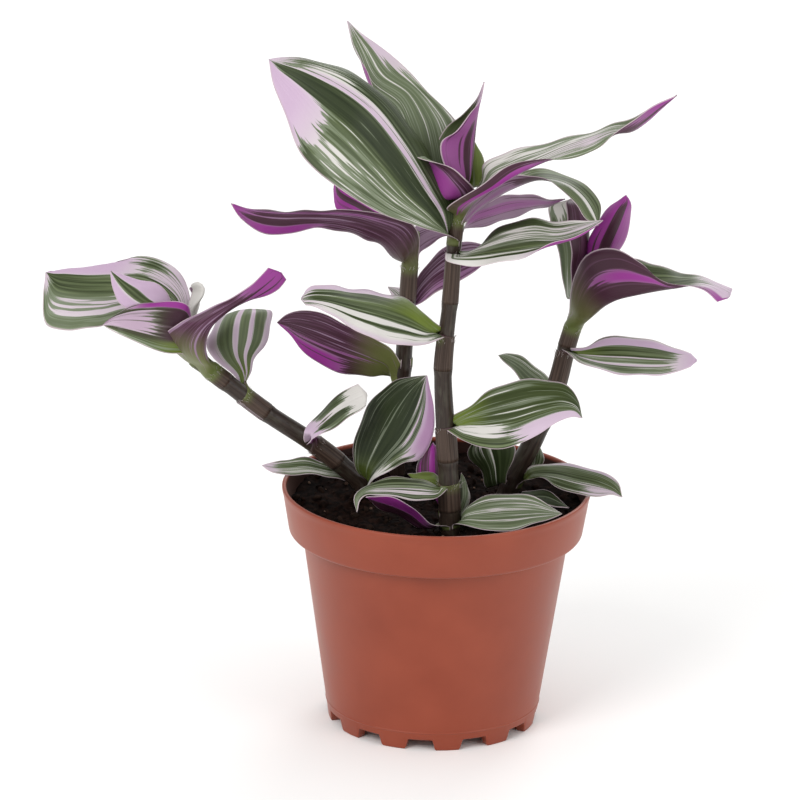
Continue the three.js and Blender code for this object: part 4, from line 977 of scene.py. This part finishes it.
def leaf_material():
    """A thin waxy leaf: green tissue, with cells that hold no green in long stripes between the parallel
    veins. They look cream, or pink where the red of the underside shows through."""
    material, tree = new_material("tradescantia_leaf")
    vein, tone, mark = (add_node(tree, "Attribute", {"attribute_name": name}, {})
                        for name in ("vein", "tone", "mark"))
    pink, pale, under = add_node(tree, "SeparateColor", {}, {0: tone.outputs["Color"]}).outputs
    edge, lime, dark = add_node(tree, "SeparateXYZ", {}, {0: mark.outputs["Vector"]}).outputs
    sheath = tone.outputs["Alpha"]

    # Stripes about 5 mm, 1 mm and 0.4 mm wide, and 20 to 80 times as long as they are wide.
    streaks = []
    for across, along in ((0.22, 0.012), (1.0, 0.02), (2.6, 0.035)):
        place = add_node(tree, "VectorMath", TIMES, {0: vein.outputs["Vector"], 1: (across, along, 1)})
        streaks.append(add_node(tree, "TexNoise", {}, {
            "Vector": place.outputs[0], "Scale": 1.0, "Detail": 2.0, "Roughness": 0.5}).outputs["Fac"])
    broad, fine, hair = streaks
    lack = add_node(tree, "Math", TIMES, {0: fine, 1: 0.5})
    for part, weight in ((broad, 0.2), (hair, 0.3), (pale, 0.4)):
        lack = add_node(tree, "Math", TIMES_PLUS, {0: part, 1: weight, 2: lack.outputs[0]})
    # Where most cells lack green the leaf is bare, and where only the upper ones do it is grey.
    bare, grey = (add_node(tree, "MapRange", SOFT_STEP, {"Value": lack.outputs[0], "From Min": low,
                                                         "From Max": high, "To Max": most}).outputs[0]
                  for low, high, most in ((0.69, 0.72, 1.0), (0.61, 0.65, 0.6)))
    streaked, darker, lighter, rib = (
        add_node(tree, "MapRange", {}, {"Value": value, "From Min": low, "From Max": high,
                                        "To Max": most}).outputs[0]
        for value, low, high, most in ((fine, 0.35, 0.65, 1.0), (dark, 0.0, 1.0, 0.85),
                                       (dark, 0.0, -1.0, 0.7), (hair, 0.38, 0.62, 1.0)))
    # A colourless margin about 0.3 mm wide.
    margin = add_node(tree, "MapRange", SOFT_STEP, {"Value": edge, "From Min": 0.15, "From Max": 0.42,
                                                    "To Min": 0.8, "To Max": 0.0}).outputs[0]

    # Each colour starts as its first, and turns to the next ones where their shares say so.
    colours = {
        # Green tissue, from dark olive to grey green. On leaves that lie in shadow
        # the darker layer is painted shade.
        "green": ("#2b3518", (streaked, "#626e4a"), (darker, "#1c2610"), (lighter, "#6c775c"),
                  (lime, "#66762c"), (grey, "#7e8772")),
        "cream": ("#cbc8c3", (pink, "#bba2ba")),
        "upper side": ("green", (bare, "cream")),
        # The underside is maroon under the green, magenta under the pink and mauve under the cream.
        "maroon": ("#3f2130", (grey, "#5d3a52"), (lime, "#666b3c")),
        "mauve": ("#8a7086", (pink, "#8d3186")),
        "underside": ("maroon", (bare, "mauve")),
        # The sheath is thin and mauve brown, with darker ribs.
        "tube": ("#342720", (rib, "#4f4037"), (lime, "#5f6a38")),
        "leaf": ("upper side", (under, "underside"), (sheath, "tube"), (margin, "#c9b6bd")),
    }
    made = {}
    for name, (first, *layers) in colours.items():
        made[name] = made.get(first) or colour(first)
        for share, text in layers:
            made[name] = add_node(tree, "Mix", COLOURS, {
                0: share, 6: made[name], 7: made.get(text) or colour(text)}).outputs[2]

    relief = add_node(tree, "Math", TIMES_PLUS, {0: hair, 1: 0.6, 2: fine})
    bump = add_node(tree, "Bump", {}, {"Strength": 0.35, "Distance": 0.0003, "Height": relief.outputs[0]})
    surface = add_node(tree, "BsdfPrincipled", {}, {
        "Base Color": made["leaf"], "Roughness": 0.42, "Specular IOR Level": 0.25,
        "Normal": bump.outputs["Normal"]})
    add_node(tree, "OutputMaterial", {}, {"Surface": surface.outputs["BSDF"]})
    return material


def stem_material():
    """A juicy stem under a thin glossy skin, dark purple brown with fine lengthwise ribs."""
    material, tree = new_material("tradescantia_stem")
    grain, young = (add_node(tree, "Attribute", {"attribute_name": name}, {})
                    for name in ("grain", "young"))
    # Ribs about 0.8 mm wide and green patches about 4 mm wide.
    textures = []
    for size, detail in (((1.2, 0.03, 1), 3.0), ((0.25, 0.12, 1), 2.0)):
        place = add_node(tree, "VectorMath", TIMES, {0: grain.outputs["Vector"], 1: size})
        textures.append(add_node(tree, "TexNoise", {}, {"Vector": place.outputs[0], "Scale": 1.0,
                                                        "Detail": detail}).outputs["Fac"])
    ribs, patches = textures
    ribbed, green = (add_node(tree, "MapRange", {}, {"Value": value, "From Min": low, "From Max": high,
                                                     "To Max": most}).outputs[0]
                     for value, low, high, most in ((ribs, 0.35, 0.65, 1.0), (patches, 0.5, 0.7, 0.6)))
    skin = colour("#211813")
    # The youngest part is green.
    for share, text in ((ribbed, "#3b2f28"), (green, "#48463a"), (young.outputs["Fac"], "#59662f")):
        skin = add_node(tree, "Mix", COLOURS, {0: share, 6: skin, 7: colour(text)}).outputs[2]
    bump = add_node(tree, "Bump", {}, {"Strength": 0.3, "Distance": 0.0002, "Height": ribs})
    surface = add_node(tree, "BsdfPrincipled", {}, {
        "Base Color": skin, "Roughness": 0.32, "Specular IOR Level": 0.3, "Normal": bump.outputs["Normal"]})
    add_node(tree, "OutputMaterial", {}, {"Surface": surface.outputs["BSDF"]})
    return material


def pot_material():
    """Injection-moulded polypropylene in a terracotta colour: semi-gloss, with faint flow marks, and
    a soft paler bloom where it is seen at a slant."""
    material, tree = new_material("moulded_polypropylene")
    place = add_node(tree, "TexCoord", {}, {})
    # Flow marks about 22 mm across, and a grain of about 1 mm, drawn coarser than it is so that it shows.
    marks, grain = (add_node(tree, "TexNoise", {}, {"Vector": place.outputs["Object"], "Scale": scale,
                                                    "Detail": detail}).outputs["Fac"]
                    for scale, detail in ((45.0, 3.0), (900.0, 2.0)))
    flow, gloss = (add_node(tree, "MapRange", {}, {"Value": marks, "From Min": 0.3, "From Max": 0.7,
                                                   "To Min": low, "To Max": high}).outputs[0]
                   for low, high in ((0.0, 1.0), (0.36, 0.44)))
    # Painted shade darkens the inside wall, together with some stain from soil and water.
    inside_shade_and_stain = add_node(tree, "Attribute", {"attribute_name": "inside_shade_and_stain"}, {}).outputs["Fac"]
    plastic = colour("#82351d")
    for share, text in ((flow, "#8c3d25"), (inside_shade_and_stain, "#2a120c")):
        plastic = add_node(tree, "Mix", COLOURS, {0: share, 6: plastic, 7: colour(text)}).outputs[2]
    bump = add_node(tree, "Bump", {}, {"Strength": 0.1, "Distance": 0.0001, "Height": grain})
    surface = add_node(tree, "BsdfPrincipled", {}, {
        "Base Color": plastic, "Roughness": gloss, "Specular IOR Level": 0.4, "Sheen Weight": 0.16,
        "Sheen Roughness": 0.4, "Sheen Tint": colour("#dcb8ab"), "Normal": bump.outputs["Normal"]})
    add_node(tree, "OutputMaterial", {}, {"Surface": surface.outputs["BSDF"]})
    return material


def soil_material():
    """Damp peat, nearly black, with crumbs of many browns and a few pale ones."""
    material, tree = new_material("peat_soil")
    place = add_node(tree, "TexCoord", {}, {})
    # Crumbs about 2.4 mm across.
    crumbs = add_node(tree, "TexNoise", {}, {"Vector": place.outputs["Object"], "Scale": 420.0,
                                             "Detail": 4.0}).outputs["Fac"]
    brown = add_node(tree, "MapRange", {}, {"Value": crumbs, "From Min": 0.4, "From Max": 0.72}).outputs[0]
    speck = add_node(tree, "Attribute", {"attribute_name": "speck"}, {}).outputs["Fac"]
    peat = colour("#0a0504")
    for share, text in ((brown, "#241611"), (speck, "#7d6658")):
        peat = add_node(tree, "Mix", COLOURS, {0: share, 6: peat, 7: colour(text)}).outputs[2]
    bump = add_node(tree, "Bump", {}, {"Strength": 0.7, "Distance": 0.0008, "Height": crumbs})
    surface = add_node(tree, "BsdfPrincipled", {}, {
        "Base Color": peat, "Roughness": 0.9, "Specular IOR Level": 0.05, "Normal": bump.outputs["Normal"]})
    add_node(tree, "OutputMaterial", {}, {"Surface": surface.outputs["BSDF"]})
    return material


def plain_material(name, inputs):
    """A material that is the same all over."""
    material, tree = new_material(name)
    surface = add_node(tree, "BsdfPrincipled", {}, inputs)
    add_node(tree, "OutputMaterial", {}, {"Surface": surface.outputs["BSDF"]})
    return material


# ------------------------------------------------------------------ the pot


def rounded(corners, steps=4):
    """An outline whose corners, each (radius, height, rounding), are replaced by small curves."""
    outline = []
    for i, (r, z, rounding) in enumerate(corners):
        here = np.array([r, z])
        if rounding == 0:
            outline.append(here)
            continue
        before, after = (np.array(corners[k][:2]) - here for k in (i - 1, i + 1))
        start, end = (here + unit(way) * min(rounding, np.linalg.norm(way) * 0.45)
                      for way in (before, after))
        for t in np.linspace(0, 1, steps + 1):
            outline.append((1 - t) ** 2 * start + 2 * t * (1 - t) * here + t ** 2 * end)
    return outline


def wall_radius(z):
    """Radius of the outside of the pot's body."""
    return BASE_RADIUS + WALL_SLOPE * z


def pot_outline(lift):
    """The pot's section, with its foot ring cut away up to the given height."""
    ring_inside = BASE_RADIUS - FOOT_RING_WIDTH
    lip_inside = RIM_RADIUS - LIP_OVERHANG
    below, above = PARTING_HEIGHT - PARTING_SPREAD, PARTING_HEIGHT + PARTING_SPREAD
    return rounded([
        (DRAIN_CIRCLE + DRAIN_BAND, FLOOR_UNDERSIDE, 0),
        (ring_inside, FLOOR_UNDERSIDE, 0.6),
        (ring_inside, lift, 0.4),
        (wall_radius(lift), lift, 0.5),
        (wall_radius(below), below, 0.1),
        (wall_radius(PARTING_HEIGHT) + PARTING_RIDGE, PARTING_HEIGHT, 0.2),
        (wall_radius(above), above, 0.1),
        (BODY_TOP_RADIUS, COLLAR_FOOT, 0.9),
        (COLLAR_FOOT_RADIUS, COLLAR_FOOT, 1.6),
        (lip_inside, POT_HEIGHT - LIP_HEIGHT - 0.7, 1.4),
        (RIM_RADIUS, POT_HEIGHT - LIP_HEIGHT + 0.9, 1.0),
        (RIM_RADIUS, POT_HEIGHT, 0.9),
        (lip_inside - POT_WALL, POT_HEIGHT, 0.7),
        (lip_inside - POT_WALL - 0.2, POT_HEIGHT - 1.6, 0),
        (COLLAR_FOOT_RADIUS - POT_WALL, COLLAR_FOOT + POT_WALL, 1.0),
        (BODY_TOP_RADIUS - POT_WALL, COLLAR_FOOT + POT_WALL, 1.0),
        (wall_radius(FLOOR_TOP) - POT_WALL, FLOOR_TOP, 1.5),
        (DRAIN_CIRCLE + DRAIN_BAND, FLOOR_TOP, 0),
    ])


def make_pot(material):
    pitch = 360 / FOOT_COUNT
    slope = (NOTCH_BOTTOM_DEGREES - NOTCH_TOP_DEGREES) / 2
    rings = []
    for i in range(POT_TURNS):
        degrees = 360 * i / POT_TURNS
        off_notch = abs((degrees - FOOT_TURN) % pitch - pitch / 2)
        lift = FOOT_HEIGHT * (1 - float(smooth((off_notch - NOTCH_TOP_DEGREES / 2) / slope)))
        turn = math.radians(degrees)
        rings.append([(r * math.sin(turn), -r * math.cos(turn), z) for r, z in pot_outline(lift)])
    rings = np.array(rings)
    columns = rings.shape[1]
    at = np.arange(POT_TURNS * columns).reshape(POT_TURNS, columns)
    after = np.roll(at, -1, axis=0)
    faces = np.stack([at[:, :-1], after[:, :-1], after[:, 1:], at[:, 1:]], -1).reshape(-1, 4).tolist()
    vertices = rings.reshape(-1, 3).tolist()
    add_floor(vertices, faces, (at[:, 0], at[:, -1]))
    heights = rings[0][:, 2]
    # The inside wall below the rim gets the painted shade and stain.
    inside = (np.arange(columns) > np.argmax(heights)) & (heights < POT_HEIGHT - SHADE_AND_STAIN_TOP)
    inside_shade_and_stain = np.zeros((len(vertices), 3))
    inside_shade_and_stain[:at.size] = np.tile(inside[:, None], (POT_TURNS, 3))
    add_piece("moulded_pot", vertices, faces, material, "pot", ["pot"], {"inside_shade_and_stain": inside_shade_and_stain})


def add_floor(vertices, faces, edges):
    """Closes the middle of the pot's floor, with a ring of round holes through it. The edges are the
    numbers of the vertices where the floor meets it, below and on top."""
    turns = len(edges[0])
    drains = np.array(ring_points(DRAIN_CIRCLE, 0, DRAIN_HOLES, FOOT_TURN))
    rings = np.array([ring_points(DRAIN_CIRCLE + mix(DRAIN_BAND, -DRAIN_BAND, k / FLOOR_RINGS), 0, turns)
                      for k in range(FLOOR_RINGS + 1)])
    # Points near a hole's edge are drawn on to it, and faces inside it are left out.
    for drain in drains:
        away = np.linalg.norm(rings - drain, axis=-1, keepdims=True)
        on_edge = drain + (rings - drain) * DRAIN_RADIUS / away
        rings = np.where(abs(away - DRAIN_RADIUS) < DRAIN_REACH, on_edge, rings)
    middles = (rings[:-1] + rings[1:]) / 2
    middles = (middles + np.roll(middles, -1, axis=1)) / 2
    kept = np.linalg.norm(middles[:, :, None] - drains, axis=-1).min(-1) >= DRAIN_RADIUS
    layers = []
    for edge, z in zip(edges, (FLOOR_UNDERSIDE, FLOOR_TOP)):
        start = len(vertices)
        vertices += [(x, y, z) for x, y, _ in rings[1:].reshape(-1, 3)] + [(0, 0, z)]
        layers.append(np.vstack([edge, np.arange(start, len(vertices) - 1).reshape(-1, turns)]))
    under, top = layers
    for k, i in np.argwhere(kept):
        j = (i + 1) % turns
        corners = [(k, i), (k, j), (k + 1, j), (k + 1, i)]
        faces.append([under[corner] for corner in reversed(corners)])
        faces.append([top[corner] for corner in corners])
        beyond = [(k - 1, i), (k, j), (k + 1, i), (k, i - 1)]
        for a, b, (row, column) in zip(corners, corners[1:] + corners[:1], beyond):
            if 0 <= row < FLOOR_RINGS and not kept[row, column]:
                faces.append([under[a], top[a], top[b], under[b]])
    for i in range(turns):
        faces.append([under[-1, i], under[-1, i - 1], under[-1, -1] + 1])
        faces.append([top[-1, i - 1], top[-1, i], top[-1, -1] + 1])


# ------------------------------------------------------------------ the soil


def soil_height(x, y):
    """Height of the soil's uneven surface, which is heaped towards the back and has one clod."""
    away = math.hypot(x - CLOD_CENTRE[0], y - CLOD_CENTRE[1]) / CLOD_SPREAD
    height = SOIL_LEVEL + CLOD_HEIGHT * math.exp(-away ** 2)
    height += BACK_RISE * float(smooth(y / RIM_RADIUS + 0.2))
    for width, rise, place, softness, octaves in SOIL_LUMPS:
        height += rise * noise.fractal(Vector((x / width, y / width, place)), softness, 2.1, octaves)
    return height


def make_soil(material):
    edge = COLLAR_FOOT_RADIUS - POT_WALL + (SOIL_LEVEL - COLLAR_FOOT) * COLLAR_SLOPE - SOIL_GAP
    bottom, step = FLOOR_TOP + 2 * SOIL_GAP, COLLAR_FOOT + POT_WALL + 2 * SOIL_GAP
    vertices = [(x, y, soil_height(x, y)) for i in range(1, SOIL_RINGS + 1)
                for x, y, _ in ring_points(edge * i / SOIL_RINGS, 0, SOIL_TURNS)]
    below = ((edge - SOIL_TAPER, step), (BODY_TOP_RADIUS - POT_WALL - 3 * SOIL_GAP, step),
             (wall_radius(bottom) - POT_WALL - 3 * SOIL_GAP, bottom))
    for radius, z in below:
        vertices += ring_points(radius, z, SOIL_TURNS)
    faces = [face[::-1] for face in grid_faces(SOIL_RINGS + len(below), SOIL_TURNS)]
    last = len(vertices)
    for j in range(SOIL_TURNS):
        k = (j + 1) % SOIL_TURNS
        faces += [(last, j, k), (last + 1, last - SOIL_TURNS + k, last - SOIL_TURNS + j)]
    vertices += [(0, 0, soil_height(0, 0)), (0, 0, bottom)]
    add_piece("potting_soil", vertices, faces, material, "soil", ["soil"])


def lump(draw, size):
    """A crumb: an uneven closed shape with its corners pushed in and out."""
    corners = [Vector(p) for p in ((1, 0, 0), (-1, 0, 0), (0, 1, 0), (0, -1, 0), (0, 0, 1), (0, 0, -1))]
    faces = [(0, 2, 4), (2, 1, 4), (1, 3, 4), (3, 0, 4), (2, 0, 5), (1, 2, 5), (3, 1, 5), (0, 3, 5)]
    halves, split = {}, []
    for a, b, c in faces:
        between = []
        for pair in ((a, b), (b, c), (c, a)):
            key = tuple(sorted(pair))
            if key not in halves:
                halves[key] = len(corners)
                corners.append((corners[pair[0]] + corners[pair[1]]).normalized())
            between.append(halves[key])
        ab, bc, ca = between
        split += [(a, ab, ca), (b, bc, ab), (c, ca, bc), (ab, bc, ca)]
    turn = draw.uniform(0, 6.3)
    turn = Matrix.Rotation(turn, 3, Vector([draw.uniform(-1, 1) for _ in range(3)]).normalized())
    stretch = Vector((size * draw.uniform(0.8, 1.3), size, size * draw.uniform(0.5, 0.9)))
    return [turn @ (p * stretch * draw.uniform(0.75, 1.2)) for p in corners], split


def make_crumbs(material):
    draw = random.Random(5)
    reach = COLLAR_FOOT_RADIUS - 1.5
    vertices, faces, speck = [], [], []
    for _ in range(CRUMB_COUNT):
        away, turn = reach * math.sqrt(draw.random()), draw.uniform(0, 2 * math.pi)
        x, y = away * math.sin(turn), -away * math.cos(turn)
        size = draw.uniform(*(SMALL_CRUMB if draw.random() < SMALL_SHARE else LARGE_CRUMB))
        shape, split = lump(draw, size)
        faces += [tuple(len(vertices) + k for k in face) for face in split]
        rise = soil_height(x, y) + size * 0.25
        vertices += [(p.x + x, p.y + y, p.z + rise) for p in shape]
        pale = draw.random() < PALE_SHARE and size < SMALL_CRUMB[1]
        speck += [(draw.uniform(0.4, 1) if pale else draw.uniform(0, 0.08),) * 3] * len(shape)
    add_piece("soil_crumbs", vertices, faces, material, "soil", (), {"speck": speck})


# ------------------------------------------------------------------ stems, leaves and hairs


def make_stem(name, material):
    route = ROUTES[name]
    nodes = [route.at_height(leaf["node"]) for leaf in LEAVES if leaf["stem"] == name]
    rows = math.ceil(route.length / STEM_STEP)
    vertices, grain, young = [], [], []
    for i in range(rows + 1):
        run = route.length * i / rows
        centre, along = route.at(run), route.along(run)
        across = square(np.array([0, -1.0, 0]), along)
        other = np.cross(along, across)
        swelling = max(math.exp(-((run - node + NODE_DROP) / NODE_SPREAD) ** 2) for node in nodes)
        radius = stem_radius(name, centre[2]) + NODE_SWELLING * swelling
        radius = radius * mix(1, STEM_END_SHARE, smooth((run - route.length) / STEM_END + 1))
        for j in range(STEM_TURNS):
            turn = 2 * math.pi * j / STEM_TURNS
            vertices.append(centre + radius * (across * math.cos(turn) + other * math.sin(turn)))
            grain.append((radius * turn, run, 0))
            young.append([smooth((run - route.length) / YOUNG_PART + 1)] * 3)
    faces = grid_faces(rows + 1, STEM_TURNS)
    faces += [list(range(STEM_TURNS))[::-1], [rows * STEM_TURNS + j for j in range(STEM_TURNS)]]
    add_piece("grown_stem_" + name, vertices, faces, material, "stem", ["stem_" + name],
              {"grain": grain, "young": young})


def make_leaf(leaf, seed, material):
    sheet = leaf_sheet(leaf, seed)
    upper = np.stack([sheet[key] for key in ("pink", "pale", "flush", "sheath")], -1).reshape(-1, 4)
    lower = upper * (1, 1, 0, 1) + (0, 0, 1, 0)
    mark = np.stack([sheet[key] for key in ("edge", "lime", "dark")], -1).reshape(-1, 3)
    attributes = {"tone": np.concatenate([upper, lower]), "mark": np.tile(mark, (2, 1)),
                  "vein": np.tile(sheet["vein"].reshape(-1, 3), (2, 1))}
    name = leaf["name"]
    replaces = [name] if name.startswith("leaf") else ()
    add_piece(name.replace("leaf", "blade"), *sheet_mesh(sheet), material, "leaf", replaces, attributes)


def hair(start, way, outward, length):
    """A bristle with a three-sided foot, bent outward once, that ends in a point."""
    side = unit(np.cross(way, (0.3, 0.5, 0.8)))
    other = np.cross(way, side)
    bend = start + way * length * HAIR_BEND
    end = start + way * length + outward * length * HAIR_SAG
    points = [centre + radius * (side * math.cos(turn) + other * math.sin(turn))
              for centre, radius in ((start, HAIR_RADIUS), (bend, HAIR_RADIUS * HAIR_TAPER))
              for turn in (0, 2.1, 4.2)]
    faces = [(2, 1, 0), (0, 1, 4, 3), (1, 2, 5, 4), (2, 0, 3, 5), (3, 4, 6), (4, 5, 6), (5, 3, 6)]
    return points + [end], faces


def make_hairs(stem_name, material):
    """White hairs round the mouths of the sheaths on one stem."""
    draw = random.Random(stem_name)
    route = ROUTES[stem_name]
    vertices, faces = [], []
    for leaf in LEAVES:
        if leaf["stem"] != stem_name or leaf["sheath"] < SHORT_SHEATH:
            continue
        mouth = sheath_row(leaf, route.at_height(leaf["node"]) + leaf["sheath"])
        along = mouth["along"]
        for _ in range(HAIRS_A_MOUTH):
            place = arc_points(mouth, np.array([draw.uniform(-1, 1)]))[0]
            outward = unit(place - route.at(route.at_height(place[2])))
            down = along * draw.uniform(0, 2.5)
            spread = np.array([draw.uniform(-0.3, 0.3) for _ in range(3)])
            way = unit(along * draw.uniform(0.6, 1) + outward * draw.uniform(0.15, 0.6) + spread)
            points, sides = hair(place - down + outward * 0.1, way, outward, draw.uniform(*HAIR_LENGTH))
            faces += [tuple(len(vertices) + k for k in face) for face in sides]
            vertices += points
    add_piece("sheath_hairs_" + stem_name, vertices, faces, material, "leaf")


# ------------------------------------------------------------------ the studio


def make_stage():
    """A plain pale floor under plain soft light."""
    world = bpy.data.worlds.new("studio")
    bpy.context.scene.world = world
    world.use_nodes = True
    background = world.node_tree.nodes["Background"]
    background.inputs["Color"].default_value = colour("#ffffff")
    background.inputs["Strength"].default_value = 0.8
    bpy.context.scene.view_settings.view_transform = "Standard"
    for name, place, size, watts in LIGHTS:
        data = bpy.data.lights.new(name, "AREA")
        data.shape = "DISK"
        data.size = size
        data.energy = watts
        light = add_object(name, data)
        light.location = place
        light.rotation_euler = (LIT_POINT - Vector(place)).to_track_quat("-Z", "Y").to_euler()
    mesh = bpy.data.meshes.new("floor")
    corners = [(x * FLOOR_REACH, y * FLOOR_REACH, 0) for x, y in ((-1, -1), (1, -1), (1, 1), (-1, 1))]
    mesh.from_pydata(corners, [], [(0, 1, 2, 3)])
    # Matt painted board, nearly white.
    mesh.materials.append(plain_material("pale_floor", {"Base Color": colour("#fbfbfa"), "Roughness": 0.8}))
    floor = add_object("floor", mesh)


place_camera()
make_stage()
make_pot(pot_material())
peat = soil_material()
make_soil(peat)
make_crumbs(peat)
stem_skin = stem_material()
for stem_name in STEMS:
    make_stem(stem_name, stem_skin)
leaf_skin = leaf_material()
for number, grown in enumerate(LEAVES):
    make_leaf(grown, number + 1, leaf_skin)
# Colourless hairs, which look white.
white_hair = plain_material("leaf_hair", {"Base Color": colour("#c9bfbe"), "Roughness": 0.5, "IOR": 1.5})
for stem_name in STEMS:
    make_hairs(stem_name, white_hair)
